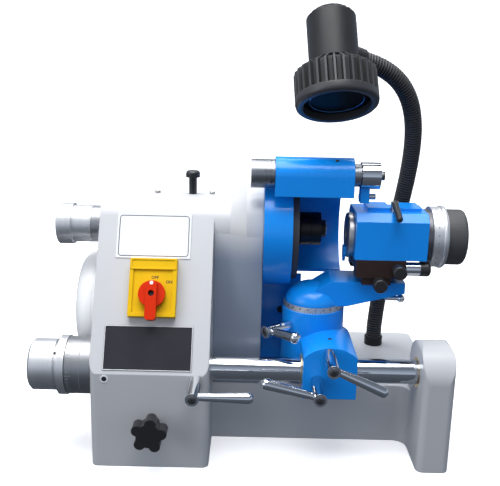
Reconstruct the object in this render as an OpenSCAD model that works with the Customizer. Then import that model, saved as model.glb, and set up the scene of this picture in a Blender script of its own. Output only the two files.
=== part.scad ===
// Bench tool and cutter grinder: cast base with headstock, wheel guard, work head on a round bar, work lamp.
// Millimetres, +Z up, +X along the spindle to the right, +Y to the rear.
// Origin: middle of the bench bolt pattern, on the underside of the base.

/* [Casting] */
// Left face of the box
box_x0 = -182; // [-185:1:-180]
// Width of the box along the bar
box_w = 120; // [118:1:122]
// Front face of the box and of the upright
front_y = -110; // [-112:1:-109]
// Rear face of the base
rear_y = 115; // [113:1:118]
// Right face of the base
base_x1 = 185; // [184:1:188]
// Height of the upright part of the box's front face
crease_z = 102; // [100:1:104]
// Height of the upright part of the box's rear face
rear_crease_z = 150; // [146:1:156]
// Wall of the casting
wall = 9; // [8:0.5:10]
// Rounding of the casting's outer edges
edge_r = 7; // [5:0.5:8]
// Front wall of the bed between box and upright
bed_front_y = -45; // [-47:1:-43]
// Top of the bed
bed_z = 66; // [64:1:67]
// Length of the upright along the bar
upright_w = 33; // [31:1:34]
// Radius of the upright's arched top
arch_r = 33.5; // [32:0.5:34]
// Inside rounding where the bed meets box and upright
fillet_r = 14; // [10:1:16]
// Front face of the column under the spindle housing
column_front_y = -35; // [-35.5:0.5:-34]
// Rear face of the column
column_rear_y = 28; // [24:1:32]
// Radius of the spindle housing
housing_r = 36; // [35:0.5:37]
// Radius of the housing's flange
flange_r = 48; // [46:0.5:50]
// Right face of the flange
flange_x1 = -10; // [-11:0.5:-9]
// Thickness of the flange
flange_t = 18; // [16:1:20]
// Length of the flare from housing to flange
flare_l = 17; // [14:1:20]
// Bench bolt spacing along the machine
bolt_dx = 336; // [330:1:340]
// Bench bolt spacing front to rear
bolt_dy = 176; // [170:1:180]
// Radius of the tapped bench bolt holes
bolt_r = 4.25; // [3.4:0.05:5]
// Depth of the bench bolt holes
bolt_depth = 22; // [18:1:25]
// Radius of the bosses round the bench bolt holes
bolt_boss_r = 14; // [13.5:0.5:14.5]
// Thickness of the rear cover
cover_t = 3; // [2:0.5:4]
// Radius of small screws
screw_r = 2; // [1.5:0.1:2.2]
// Radius of small screw heads
screw_head_r = 3.6; // [3:0.1:4]
// Height of small screw heads
screw_head_h = 2.4; // [2:0.1:3]
// Length of small screws under the head
screw_l = 9; // [8:0.5:10]

/* [Spindle] */
// Height of the wheel spindle axis
spindle_z = 230; // [228:1:232]
// Radius of the sliding quill
quill_r = 25; // [24:0.5:26]
// Distance of the quill's right end from the guard's flange
quill_set_back = 4; // [3:0.5:5]
// Length of the quill
quill_l = 138; // [136:1:139]
// Radius of the spindle and of the bearings' bore
spindle_r = 8.5; // [8:0.5:9]
// Outer radius of the spindle bearings
bearing_r = 20; // [19.5:0.5:20.5]
// Width of a spindle bearing
bearing_w = 12; // [10:1:13]
// Distance of the bearings from the quill's ends
bearing_inset = 3; // [2:0.5:5]
// Thickness of the cap on the quill's left end
quill_cap_t = 3.5; // [3:0.5:4]
// Axial feed of the quill each way
quill_travel = 2; // [1:0.5:2]
// Radius of the feed screw
feed_screw_r = 5; // [4:0.5:6]
// Radius of the feed bush that stands on the box
feed_bush_r = 20; // [19:0.5:21]
// Length of the feed bush
feed_bush_l = 13; // [11:1:15]
// Radius of the feed bush's spigot in the casting
feed_spigot_r = 10; // [9:0.5:11]
// Radius of the feed dial's cap
feed_cap_r = 22.5; // [21.5:0.5:23.5]
// Length of the feed dial's cap
feed_cap_l = 16; // [14:1:18]
// Length of the feed dial's graduated sleeve
feed_sleeve_l = 21; // [18:1:23]

/* [Drive] */
// Middle of the belt along the spindle
belt_x = -108; // [-109:0.5:-107]
// Width of the belt
belt_w = 12; // [10:1:13]
// Thickness of the belt
belt_t = 2.5; // [2:0.5:3]
// Radius of the pulley on the spindle
spindle_pulley_r = 13.5; // [13:0.5:14]
// Radius of the pulley on the motor
motor_pulley_r = 20.25; // [19:0.25:22]
// Side room of the belt between the pulley rims
belt_side_gap = 3; // [2.5:0.5:3.5]
// Thickness of a pulley rim
pulley_rim_t = 2; // [1.5:0.5:2.5]
// Height of a pulley rim
pulley_rim_h = 3; // [2.5:0.5:3]
// Motor axis, front to rear
motor_y = 28; // [26:1:29]
// Height of the motor axis
motor_z = 128; // [126:1:129]
// Radius of the motor
motor_r = 63; // [61:1:64]
// Left end of the motor
motor_x0 = -214.5; // [-216:0.5:-213]
// Length of the motor's end bell
bell_l = 20; // [18:1:22]
// Right face of the motor
motor_x1 = -130; // [-132:1:-128]
// Wall of the motor shell
motor_wall = 3; // [2.5:0.5:4]
// Radius of the motor shell's fixing flange
motor_flange_r = 69; // [68:0.5:70]
// Thickness of the motor shell's fixing flange
motor_flange_t = 5; // [4:0.5:6]
// Outer radius of the rotor
rotor_r = 32; // [30:1:34]
// Length of rotor and stator
rotor_l = 50; // [46:1:50]
// Air gap between rotor and stator
air_gap = 0.6; // [0.4:0.1:0.8]
// Radius of the motor shaft
motor_shaft_r = 8; // [7:0.5:9]

/* [Wheel] */
// Radius of the grinding wheel
wheel_r = 55; // [52:0.5:56]
// Thickness of the grinding wheel
wheel_t = 20; // [18:0.5:20]
// Left face of the grinding wheel
wheel_x0 = 6.5; // [6:0.5:7]
// Radius of the wheel flanges
hub_r = 18; // [17:0.5:19]
// Thickness of the inner wheel flange
inner_flange_t = 8; // [6:0.5:9]
// Length of the neck on the outer wheel flange
hub_neck_l = 4; // [3:0.5:5]
// Radius of the neck on the outer wheel flange
hub_neck_r = 13; // [12:0.5:14]
// Length of the outer wheel flange
hub_l = 22; // [20:1:23]
// Width and depth of the seam round the outer wheel flange
hub_seam = 1; // [0.6:0.1:1.2]
// Radius of the wheel nut over its corners
wheel_nut_r = 9.6; // [9.4:0.1:10.5]
// Thickness of the wheel nut
wheel_nut_t = 5.5; // [5:0.5:6]
// Radius of the spindle's threaded end
spindle_end_r = 6; // [5:0.5:7]

/* [Guard] */
// Outer radius of the wheel guard
guard_r = 62; // [61.5:0.5:63]
// Wall of the wheel guard
guard_wall = 4; // [3.5:0.5:4]
// Width of the guard's full band
guard_band_w = 29.5; // [29:0.25:30]
// Right end of the guard's rear half
guard_x1 = 80; // [78:1:82]
// Lower end of the rear half, degrees below level
guard_low_deg = 66; // [60:1:70]
// Upper front end of the rear half, degrees round from the rear
guard_high_deg = 118; // [112:1:122]
// Front face of the skirt under the guard
skirt_y = 16; // [15:1:18]
// Thickness of the skirt
skirt_t = 5; // [4:0.5:6]
// Right edge of the skirt
skirt_x1 = 35; // [32:1:36]
// Dresser shaft axis, front to rear
dresser_y = -45; // [-46:0.5:-44]
// Height of the dresser shaft axis above the spindle
dresser_rise = 66.5; // [66:0.25:67.5]
// Outer radius of the dresser boss
dresser_boss_r = 17.6; // [17:0.2:18]
// Depth of the web under the dresser boss
dresser_web = 20.5; // [20:0.25:21.5]
// Left face of the dresser boss
dresser_boss_x0 = 0; // [-1:0.5:1]
// Length of the dresser boss
dresser_boss_l = 79; // [78:1:80]
// Radius of the dresser shaft
dresser_shaft_r = 11.5; // [11:0.5:12]
// Radius of the dresser shaft's left head
dresser_head_r = 14.6; // [14:0.2:15.4]
// Length of the dresser shaft's left head
dresser_head_l = 24; // [22:1:26]
// Free length of the shaft right of the boss
dresser_free_l = 8; // [7:0.5:9]
// Radius of the dresser collar
dresser_collar_r = 13.6; // [13:0.2:14]
// Length of the dresser collar
dresser_collar_l = 19; // [18:0.5:20]
// Radius of the pin at the shaft's right end
dresser_pin_r = 4.5; // [4:0.25:5]
// Length of the pin at the shaft's right end
dresser_pin_l = 5; // [4:0.5:6]
// Width of the dresser arm along the shaft
dresser_arm_w = 9; // [8:0.5:9.5]
// Depth of the dresser arm
dresser_arm_d = 13; // [11:0.5:14]
// Drop of the dresser arm's lower end from the shaft axis
dresser_arm_drop = 27.5; // [26:0.5:28]
// Radius of the diamond holder
diamond_r = 3; // [2.5:0.5:3.5]
// Length of the diamond holder
diamond_l = 17; // [15:1:19]

/* [Bar] */
// Height of the bar axis
bar_z = 97; // [96:0.5:98]
// Radius of the bar
bar_r = 12.5; // [12:0.5:13]
// Left end of the bar
bar_x0 = -170; // [-171:1:-168]
// Right end of the bar
bar_x1 = 178; // [177:1:179]
// Axial feed of the bar each way
bar_travel = 5; // [3:0.5:5]
// Wall of the bar's bushes
bush_wall = 3.5; // [3:0.5:4]
// Length of the bush in the box
box_bush_l = 40; // [36:1:44]
// Radius of the boss round the bar inside the box
bar_boss_r = 26; // [25.5:0.5:27]
// Radius of the bar feed screw
bar_screw_r = 6.5; // [6:0.5:7]
// Depth of the bar feed screw in the bar
bar_screw_depth = 34; // [30:1:38]
// Radius of the fixed collar at the bar feed
bar_collar_r = 29.5; // [29:0.5:30]
// Length of the fixed collar at the bar feed
bar_collar_l = 26; // [25:0.5:27]
// Radius of the bar dial's flange
bar_flange_r = 30.6; // [30:0.2:31]
// Thickness of the bar dial's flange
bar_flange_t = 8; // [7:0.5:9]
// Radius of the bar dial's knob
bar_knob_r = 26.4; // [25:0.2:27]
// Length of the bar dial's knob
bar_knob_l = 26; // [24:1:28]
// Length of the neck between flange and knob
bar_neck_l = 4; // [3:0.5:5]
// Depth of the neck between flange and knob
bar_neck_d = 2.4; // [2:0.2:3]
// Radius of the end cap on the upright
end_cap_r = 14; // [13.5:0.5:15]
// Thickness of the end cap
end_cap_t = 3; // [2.5:0.5:3.5]

/* [Carriage] */
// Swivel axis along the bar
swivel_x = 46; // [45:0.5:47]
// Swivel and work spindle axis, front to rear
swivel_y = -26; // [-27:0.5:-25]
// Left face of the clamp block
block_x0 = 32; // [31:0.5:33]
// Width of the clamp block
block_w = 54; // [53:0.5:55]
// Distance of the block's front face from the bar axis
block_front = 29; // [28:0.5:30]
// Depth of the block below the bar axis
block_below = 19; // [18.5:0.5:20]
// Height of the block's shoulders above the bar axis
block_shoulder = 25; // [24:0.5:26]
// Height of the block's crown above the bar axis
block_crown = 36; // [35:0.5:37]
// Radius of the column on the carriage
column_r = 33.5; // [33:0.5:34]
// Lower end of the column on the carriage
column_z0 = 80; // [79:0.5:81]
// Radius of the graduated ring
ring_r = 32; // [31.5:0.5:32.5]
// Lower face of the graduated ring
ring_z0 = 151; // [150:0.5:152]
// Height of the graduated ring
ring_h = 6; // [5.5:0.5:6.5]
// Radius of the swivel pivot
pivot_r = 12; // [11:0.5:13]
// Depth of the swivel pivot in the column
pivot_depth = 30; // [26:1:34]
// Wall of the carriage bush
carriage_bush_wall = 4; // [3.5:0.5:4.5]

/* [Swivel arm] */
// Radius of the arm's round end
dome_r = 26; // [25:0.5:26.5]
// Height of the arm's round end
dome_h = 19; // [18:0.5:20]
// Rounding of the round end's top
dome_edge_r = 16; // [14:0.5:17]
// Top of the arm
arm_z1 = 184; // [183:0.5:185]
// Right end of the arm
arm_x1 = 140; // [138:1:142]
// Left end of the arm's bar on the round end
arm_x0 = 36; // [34:1:38]
// Height of the arm's right end
arm_tip_h = 11.5; // [11:0.5:12.5]
// Depth of the arm
arm_d = 44; // [42:1:46]
// Left face of the slide base
slide_base_x0 = 93; // [92:0.5:94]
// Length of the slide base
slide_base_l = 30; // [28:1:31]
// Height of the slide base
slide_base_h = 8; // [7:0.5:9]
// Depth of the slide base
slide_base_d = 60; // [58:1:62]
// Width of the dovetail at its foot
dovetail_w = 22; // [20:1:24]
// Flare of the dovetail on each side
dovetail_flare = 3; // [2:0.5:4]
// Height of the dovetail
dovetail_h = 6; // [5:0.5:7]
// Left face of the cross slide
slide_x0 = 86; // [85.5:0.5:87]
// Length of the cross slide
slide_l = 51; // [50:1:52]
// Height of the cross slide
slide_h = 19; // [18:0.5:19]
// Feed screw of the cross slide, in front of the work axis
slide_screw_off = 26; // [25.5:0.25:26.5]
// Height of the slide's feed screw above the slide's underside
slide_screw_up = 9; // [8:0.5:10]
// Radius of the slide's feed screw
slide_screw_r = 2.6; // [2:0.2:3]
// Free length of the slide's feed screw
slide_screw_l = 15; // [13:1:17]
// Radius of the barrel that the thimble runs on
barrel_r = 7.2; // [7:0.1:7.4]
// Radius of the slide's thimble
thimble_r = 7.5; // [7:0.25:7.5]
// Length of the slide's thimble
thimble_l = 11.5; // [10:0.5:12]

/* [Work head] */
// Front face of the work head from its axis
head_front = 32; // [31:0.5:33]
// Length of the work head
head_l = 74; // [73:1:75]
// Left face of the work head
head_x0 = 84; // [83.5:0.5:84.5]
// Height of the front face's top above the work axis
head_face_top = 21; // [20:0.5:22]
// Height of the bevel's top above the work axis
head_bevel_top = 29; // [28:0.5:30]
// Half width of the ridge along the top
ridge_half = 16; // [15:0.5:17]
// Height of the ridge's top above the work axis
ridge_top = 33; // [32.5:0.25:33.5]
// Left end of the ridge
ridge_x0 = 97; // [96.5:0.5:98]
// Length of the ridge
ridge_l = 55; // [53:1:57]
// Gap in the ridge for the index pin
ridge_gap = 9; // [8.8:0.2:9.6]
// Radius of the work spindle
work_r = 15; // [14.5:0.5:15.5]
// Radius of the work spindle's bore
work_bore_r = 9.6; // [9:0.1:10]
// Left face of the work spindle's nose
nose_x0 = 78; // [77:0.5:78.5]
// Radius of the nose ring
nose_r = 24; // [23:0.5:24.5]
// Length of the nose ring
nose_l = 5.5; // [5:0.5:5.5]
// Right end of the work spindle
work_x1 = 197; // [195:1:198]
// Left face of the dark index plate
index_x0 = 158.5; // [158.3:0.1:159]
// Radius of the dark index plate
index_r = 29; // [28:0.5:30]
// Length of the dark index plate
index_l = 5.5; // [5:0.25:6]
// Radius of the graduated drum
drum_r = 32; // [31:0.5:32.5]
// Length of the graduated drum
drum_l = 15.5; // [15:0.5:16]
// Radius of the work knob
work_knob_r = 29.5; // [28.5:0.5:30]
// Length of the work knob
work_knob_l = 21; // [20:0.5:22]
// Rounding of the work knob's end
work_knob_edge = 4; // [3:0.5:5]
// Distance of the index pin in front of the work axis
index_pin_off = 14; // [13:0.5:14.5]
// Radius of the index pin
index_pin_r = 2.5; // [2:0.25:3]
// Radius of the index pin's collar
index_collar_r = 4; // [3.5:0.1:4.2]
// Radius of the index pin's handle
index_handle_r = 3.4; // [3:0.2:3.8]
// Length of the index pin's handle
index_handle_l = 34; // [30:1:36]
// Thickness of the stop finger on the nose
finger_t = 3; // [2:0.5:3]
// Width of the stop finger
finger_w = 11; // [9:0.5:12]
// Inner end of the stop finger from the work axis
finger_r0 = 12; // [11:0.5:13]
// Point of the stop finger from the work axis
finger_r1 = 29; // [27:0.5:30]
// Length of the index pin's collar
index_collar_l = 10; // [9:0.5:11]

/* [Levers and knobs] */
// Radius of a clamp lever's hub
lever_hub_r = 6.5; // [6:0.25:7]
// Length of a clamp lever's hub in front of its face
lever_hub_l = 42; // [38:1:44]
// Radius of a clamp lever's stud
lever_stud_r = 4; // [3.5:0.25:4.5]
// Depth of a clamp lever's stud in its block
lever_stud_l = 12; // [10:0.5:12]
// Length of a clamp lever's handle
lever_handle_l = 53; // [48:1:54]
// Radius of the handle at its hub
lever_handle_r0 = 3.6; // [3.2:0.1:4]
// Radius of the handle at its end
lever_handle_r1 = 5.5; // [5:0.25:5.75]
// Box lever axis along the bar
box_lever_x = -75.5; // [-76:0.5:-75]
// Swing lever axis along the bar
swing_lever_x = 57.5; // [57:0.5:58]
// Height of the swing lever above the bar axis
swing_lever_up = 29; // [28:0.5:29]
// Slide lever axis along the bar
slide_lever_x = 46; // [45.5:0.5:46.5]
// Radius of the small lever balls
ball_r = 6; // [5:0.5:6.5]
// Radius of the small lever rods
small_rod_r = 2.6; // [2.2:0.2:3]
// Height of the swivel lock
lock_z = 133; // [132:0.5:134]
// Length of the swivel lock's hub
lock_hub_l = 32; // [30:1:33]
// Length of the swivel lock's handle
lock_handle_l = 41; // [38:1:42]
// Length of the arm lever
arm_lever_l = 15; // [13:1:17]
// Arm lever's axis from the arm's right end
arm_lever_in = 17; // [15:1:19]
// Drop of the arm lever under the arm
arm_lever_drop = 8; // [7.5:0.5:9]
// Star knob axis along the bar
star_x = -119; // [-121:1:-117]
// Height of the star knob
star_z = 50; // [48:1:52]
// Radius to the middle of a star knob's lobe
star_lobe_at = 12.5; // [12:0.5:13]
// Radius of a star knob's lobe
star_lobe_r = 5.6; // [5.2:0.2:6]
// Number of lobes on the star knob
star_lobes = 5; // [4:1:7]
// Thickness of the star knob
star_t = 14; // [12:1:16]
// Length of the star knob's neck
star_neck_l = 14; // [12:1:16]
// Radius of the star knob's neck
star_neck_r = 8; // [7:0.5:9]
// Radius of a round lock knob
lock_knob_r = 7.3; // [6.8:0.1:7.4]
// Length of a round lock knob
lock_knob_l = 13; // [11:1:14]
// Radius of a lock knob's screw
lock_screw_r = 2.5; // [2:0.25:3]
// Depth of a lock knob's screw
lock_screw_l = 10; // [8:0.5:12]
// Cross slide lock knob along the bar
slide_lock_x = 129; // [128:0.5:130]
// Depth of the slide screw's seat in the slide
slide_screw_grip = 4; // [3:0.5:4.5]
// Slide base lock knob along the bar
base_lock_x = 110; // [109:0.5:111]

/* [Fittings] */
// Middle of plates and switch along the box
plate_x = -124; // [-125:0.5:-122]
// Width of the blank data plate
data_plate_w = 77; // [70:1:80]
// Height of the blank data plate
data_plate_h = 48; // [44:1:49]
// Lower edge of the blank data plate, up the leaning face
data_plate_v = 119; // [118.5:0.5:121]
// Width of the dark plate
dark_plate_w = 89; // [80:1:92]
// Height of the dark plate
dark_plate_h = 45; // [40:1:46]
// Lower edge of the dark plate, up the leaning face
dark_plate_v = 4; // [3:0.5:5]
// Thickness of a plate
plate_t = 0.8; // [0.6:0.1:1.2]
// Width of the switch plate
switch_w = 48; // [46:1:50]
// Middle of the switch along the box
switch_x = -121.5; // [-122:0.5:-121]
// Height of the switch plate
switch_h = 60; // [58:1:61]
// Lower edge of the switch plate, up the leaning face
switch_v = 57; // [56:0.5:58]
// Thickness of the switch plate
switch_t = 4; // [3:0.5:5]
// Standing height of the switch body under its plate
switch_stand = 6; // [5:0.5:7]
// Depth of the switch body inside the box
switch_depth = 32; // [28:1:36]
// Height of the plain strip along the top of the switch plate
switch_strip_h = 12; // [11:0.5:13]
// Depth of the switch plate's recess
switch_recess = 1.5; // [1:0.25:2]
// Margin of the switch plate's recess
switch_margin = 4; // [3:0.5:5]
// Radius of the switch knob
switch_knob_r = 13.6; // [13:0.2:14]
// Height of the switch knob's disc
switch_knob_h = 5; // [4:0.5:6]
// Height of the switch knob's grip
switch_grip_h = 9; // [8:0.5:10]
// Width of the switch knob's grip
switch_grip_w = 11; // [9:0.5:12]
// Reach of the switch knob's grip below its axis
switch_grip_l = 27; // [25:0.5:28]
// Height of the switch axis up the leaning face
switch_axis_v = 79.5; // [79:0.5:80.5]
// Radius of the switch shaft
switch_shaft_r = 3; // [2.5:0.5:3.5]
// Lock plunger along the housing
plunger_x = -87; // [-88:0.5:-86]
// Radius of the lock plunger's stem
plunger_r = 4.3; // [4:0.1:4.6]
// Radius of the lock plunger's head
plunger_head_r = 7.6; // [7:0.2:8]
// Height of the lock plunger's head
plunger_head_h = 7; // [6:0.5:8]
// Top of the lock plunger above the spindle axis
plunger_top = 61; // [60:0.5:62]
// Oil cup near the left end of the housing
oil_x0 = -125; // [-128:1:-122]
// Oil cup near the right end of the housing
oil_x1 = -66; // [-68:1:-64]
// Radius of an oil cup
oil_r = 3.2; // [2.8:0.2:3.6]
// Height of an oil cup above the housing
oil_h = 3; // [2:0.5:4]
// Radius of the cable gland's thread
gland_r = 6; // [5:0.5:7]
// Length of the cable gland outside the cover
gland_l = 16; // [14:1:18]

/* [Lamp] */
// Middle of the lamp's mouth along the machine
lamp_x = 58; // [56:1:60]
// Middle of the lamp's mouth, front to rear
lamp_y = -60; // [-64:1:-56]
// Height of the middle of the lamp's mouth
lamp_z = 365; // [363:1:367]
// Backward tilt of the lamp's axis, degrees
lamp_tilt = 28; // [25:1:31]
// Sideways lean of the lamp's axis, degrees
lamp_lean = 4; // [2:1:6]
// Radius of the lamp's ribbed head
lamp_head_r = 41; // [40:0.5:42]
// Height of the lamp's ribbed head
lamp_head_h = 46; // [44:1:48]
// Height of the chamfer on the ribbed head
lamp_chamfer = 11; // [9:1:13]
// Number of slots round the ribbed head
lamp_slots = 30; // [24:1:36]
// Depth of the slots round the ribbed head
lamp_slot_d = 4; // [3:0.5:5]
// Height of the slots round the ribbed head
lamp_slot_h = 24; // [20:1:26]
// Wall of the ribbed head's mouth
lamp_rim = 8; // [7:0.5:9]
// Depth of the lamp's mouth
lamp_mouth_d = 12; // [10:1:14]
// Radius of the lamp's body
lamp_body_r = 25; // [24:0.5:26]
// Length of the lamp's body
lamp_body_l = 56; // [52:1:58]
// Chamfer on top of the lamp's body
lamp_top_c = 6.5; // [5:0.5:8]
// Thickness of the lamp's lens
lens_t = 4; // [3:0.5:5]
// Neck joint above the lamp's mouth
neck_up = 62; // [60:1:64]
// Drop of the neck as it leaves the lamp, degrees
neck_drop = 12; // [10:1:14]
// Rearward turn of the neck as it leaves the lamp, degrees
neck_turn = 22; // [18:1:26]
// Radius of the neck socket on the lamp
neck_socket_r = 11; // [10.8:0.1:11.5]
// Length of the neck socket on the lamp
neck_socket_l = 8; // [7:0.5:9]
// Depth of the neck in a socket
neck_depth = 9; // [8:0.5:9.5]
// Outer radius of the ribbed neck
neck_r = 9.5; // [9.25:0.05:9.6]
// Depth of the neck's ribs
neck_rib_d = 1.2; // [1:0.1:1.4]
// Radius of the neck's bore
neck_bore_r = 6; // [5.5:0.25:6.5]
// Number of ribs along the neck
neck_ribs = 130; // [100:5:150]
// Neck base along the machine
neck_x = 133; // [131:1:135]
// Neck base, front to rear
neck_y = 78; // [76:1:80]
// Height of the neck's foot
neck_foot_h = 10.5; // [10:0.5:12]
// Radius of the neck's foot
neck_foot_r = 11; // [10.5:0.25:12]
// Upward pull of the neck's curve at its foot
neck_pull_low = 150; // [140:5:160]
// Sideways swing of the neck's curve at its foot
neck_swing = 7; // [5:1:9]
// Pull of the neck's curve at the lamp
neck_pull_high = 104; // [98:2:110]

/* [Fits] */
// Running clearance of turning and sliding pieces
run_gap = 0.05; // [0.03:0.01:0.08]
// Clearance between pieces that pass each other
free_gap = 0.4; // [0.3:0.05:0.6]
// Overrun of cuts past the faces they open
cut = 1; // [0.5:0.1:2]

/* [Hidden] */
$fn = 96;

casting_grey = [0.80, 0.82, 0.85];
guard_blue = [0.07, 0.45, 0.85];
steel_grey = [0.62, 0.63, 0.65];
dial_grey = [0.75, 0.76, 0.78];
bright_chrome = [0.85, 0.86, 0.88];
part_black = [0.06, 0.06, 0.07];

// Axes and faces that follow from the driving sizes
spindle_y = 0;
spindle_at = [spindle_y, spindle_z];
motor_at = [motor_y, motor_z];
bar_y = front_y + arch_r;
bar_at = [bar_y, bar_z];
box_x1 = box_x0 + box_w;
upright_x0 = base_x1 - upright_w;
housing_top = spindle_z + housing_r;
half = 0.5;
boss_share = 0.8;
quill_boss_r = quill_r + boss_share * wall;
flare_x0 = flange_x1 - flange_t - flare_l;
quill_bore_x0 = box_x0 + wall;
quill_x1 = flange_x1 - quill_set_back;
quill_x0 = quill_x1 - quill_l;
belt_window = belt_w * half + quill_travel + 2 * free_gap;
belt_clear = free_gap;
lever_face_y = bar_y - block_front;
rear_open_z = rear_crease_z - 2 * wall;
cover_screw_zs = [2 * wall, rear_open_z + half * wall];
cover_screw_xs = [box_x0 + half * wall, box_x1 - half * wall];
guard_x0 = flange_x1;
guard_band_x1 = guard_x0 + guard_band_w;
guard_in_r = guard_r - guard_wall;
guard_screw_at = half * (quill_r + flange_r);
guard_screw_degs = [45, 135, 225, 315];
skirt_z1 = spindle_z - sqrt(pow(guard_in_r + half * guard_wall, 2) - pow(skirt_y, 2));
skirt_screw_x = half * (guard_x0 + skirt_x1);
skirt_screw_z = half * (bed_z + spindle_z) - 2 * wall;
wheel_x1 = wheel_x0 + wheel_t;
hub_x0 = wheel_x1 + hub_neck_l;
hub_x1 = hub_x0 + hub_l;
dresser_boss_x1 = dresser_boss_x0 + dresser_boss_l;
dresser_collar_x0 = dresser_boss_x1 + dresser_free_l;
dresser_collar_x1 = dresser_collar_x0 + dresser_collar_l;
dresser_end_r = dresser_shaft_r - free_gap - dresser_pin_r * half;
dresser_z = spindle_z + dresser_rise;
dresser_arm_z0 = dresser_z - dresser_arm_drop;
diamond_z = dresser_arm_z0 + 2 * diamond_r;
bar_bush_r = bar_r + bush_wall;
carriage_bush_r = bar_r + carriage_bush_wall;
bar_collar_x0 = box_x0 - bar_collar_l;
bar_dial_x1 = bar_collar_x0 - free_gap;
bar_flange_x0 = bar_dial_x1 - bar_flange_t;
bar_knob_x1 = bar_flange_x0 - bar_neck_l;
feed_bush_x0 = box_x0 - feed_bush_l;
feed_dial_x1 = feed_bush_x0 - free_gap;
feed_cap_x1 = feed_dial_x1 - feed_sleeve_l;
block_x1 = block_x0 + block_w;
ring_z1 = ring_z0 + ring_h;
arm_low_z = ring_z1 + run_gap;
slide_z0 = arm_z1 + slide_base_h;
slide_z1 = slide_z0 + run_gap + slide_h;
slide_x1 = slide_x0 + slide_l;
slide_screw_y = swivel_y - slide_screw_off;
slide_screw_z = slide_z0 + slide_screw_up;
thimble_x0 = slide_x1 + slide_screw_l;
work_z = spindle_z;
work_at = [swivel_y, work_z];
head_x1 = head_x0 + head_l;
head_low = slide_z1 - work_z;
bevel_half = head_front - (head_bevel_top - head_face_top);
index_pin_x = ridge_x0 + half * ridge_l;
index_pin_y = swivel_y - index_pin_off;
index_seat_z = work_z + head_bevel_top + free_gap;
drum_x0 = index_x0 + index_l;
work_knob_x0 = drum_x0 + drum_l;
slide_lock_z = slide_z0 + slide_screw_up;
base_lock_z = arm_z1 + lock_screw_r + free_gap;
slide_face_y = swivel_y - head_front;
arm_lever_x = arm_x1 - arm_lever_in;
arm_lever_z = arm_z1 - arm_tip_h - arm_lever_drop;

// Tangent from a corner of the box outline to the round housing; side 1 is the front, -1 the rear
function tangent_point(p, side) =
    let (d = spindle_at - p,
         far = norm(d),
         turn = atan2(d[1], d[0]) + side * asin(housing_r / far))
    p + sqrt(far * far - housing_r * housing_r) * [cos(turn), sin(turn)];

front_corner = [front_y, crease_z];
rear_corner = [rear_y, rear_crease_z];
front_tangent = tangent_point(front_corner, 1);
rear_tangent = tangent_point(rear_corner, -1);
lean_deg = atan2(front_tangent[0] - front_corner[0], front_tangent[1] - front_corner[1]);
rear_lean_deg = atan2(rear_corner[0] - rear_tangent[0], rear_tangent[1] - rear_corner[1]);

// Lamp axes: tilted back, then leaned to the left
function tipped(v) = [v[0], v[1] * cos(lamp_tilt) + v[2] * sin(lamp_tilt),
    v[2] * cos(lamp_tilt) - v[1] * sin(lamp_tilt)];
function leaned(v) = [v[0] * cos(lamp_lean) - v[2] * sin(lamp_lean), v[1],
    v[0] * sin(lamp_lean) + v[2] * cos(lamp_lean)];
lamp_at = [lamp_x, lamp_y, lamp_z];
neck_out = [cos(neck_drop) * cos(neck_turn), cos(neck_drop) * sin(neck_turn), -sin(neck_drop)];
neck_dir = leaned(tipped(neck_out));
neck_root = lamp_at + leaned(tipped([0, 0, neck_up]));
neck_in = neck_depth - free_gap;
socket_end = lamp_body_r + neck_socket_l;

// Neck path: straight out of the foot, one cubic curve, straight into the lamp
neck_a = [neck_x, neck_y, bed_z + neck_foot_h - neck_in];
neck_b = neck_a + [0, 0, 2 * neck_r];
neck_d = neck_root + (socket_end - neck_in) * neck_dir;
neck_c = neck_d + 2 * neck_r * neck_dir;
neck_pull_b = neck_b + [neck_swing, 0, neck_pull_low];
neck_pull_c = neck_c + neck_pull_high * neck_dir;
neck_end_share = 0.045;

function curve_at(t) = pow(1 - t, 3) * neck_b + 3 * t * pow(1 - t, 2) * neck_pull_b
    + 3 * t * t * (1 - t) * neck_pull_c + pow(t, 3) * neck_c;
function neck_at(s) = s < neck_end_share ? neck_a + (neck_b - neck_a) * s / neck_end_share
    : s > 1 - neck_end_share ? neck_d + (neck_c - neck_d) * (1 - s) / neck_end_share
    : curve_at((s - neck_end_share) / (1 - 2 * neck_end_share));
function unit(v) = v / norm(v);
neck_step = 0.001;
function neck_way(s) = unit(neck_at(min(1, s + neck_step)) - neck_at(max(0, s - neck_step)));
function neck_ring(s, r) =
    let (way = neck_way(s), side = unit(cross([0, 1, 0], way)), up = cross(way, side))
    [for (k = [0 : neck_sides - 1]) let (a = k * 360 / neck_sides)
        neck_at(s) + r * (side * cos(a) + up * sin(a))];
neck_sides = 8;
neck_outer_rings = 2 * neck_ribs;
neck_bore_rings = 40;

module rod_x(r, x0, x1, y, z) {
    translate([x0, y, z]) rotate([0, 90, 0]) cylinder(r = r, h = x1 - x0);
}

module rod_y(r, y0, y1, x, z) {
    translate([x, y0, z]) rotate([-90, 0, 0]) cylinder(r = r, h = y1 - y0);
}

module rod_z(r, z0, z1, x, y) {
    translate([x, y, z0]) cylinder(r = r, h = z1 - z0);
}

// Box between two opposite corners
module block(low, high) {
    translate(low) cube(high - low);
}

// Turned piece on an axis along X; profile points are [radius, x]
module turned_x(profile, y, z) {
    translate([0, y, z]) rotate([0, 90, 0]) rotate_extrude() polygon(profile);
}

// Flat outline in Y and Z, drawn out along X
module x_extrude(x0, x1) {
    translate([x0, 0, 0]) rotate([90, 0, 90]) linear_extrude(x1 - x0) children();
}

// Flat outline in X and Z, drawn out along Y
module y_extrude(y0, y1) {
    translate([0, y1, 0]) rotate([90, 0, 0]) linear_extrude(y1 - y0) children();
}

module rounded_rect(low, high, r) {
    translate([low[0] + r, low[1]]) square([high[0] - low[0] - 2 * r, high[1] - low[1]]);
    translate([low[0], low[1] + r]) square([high[0] - low[0], high[1] - low[1] - 2 * r]);
    for (x = [low[0] + r, high[0] - r], y = [low[1] + r, high[1] - r])
        translate([x, y]) circle(r = r);
}

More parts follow.
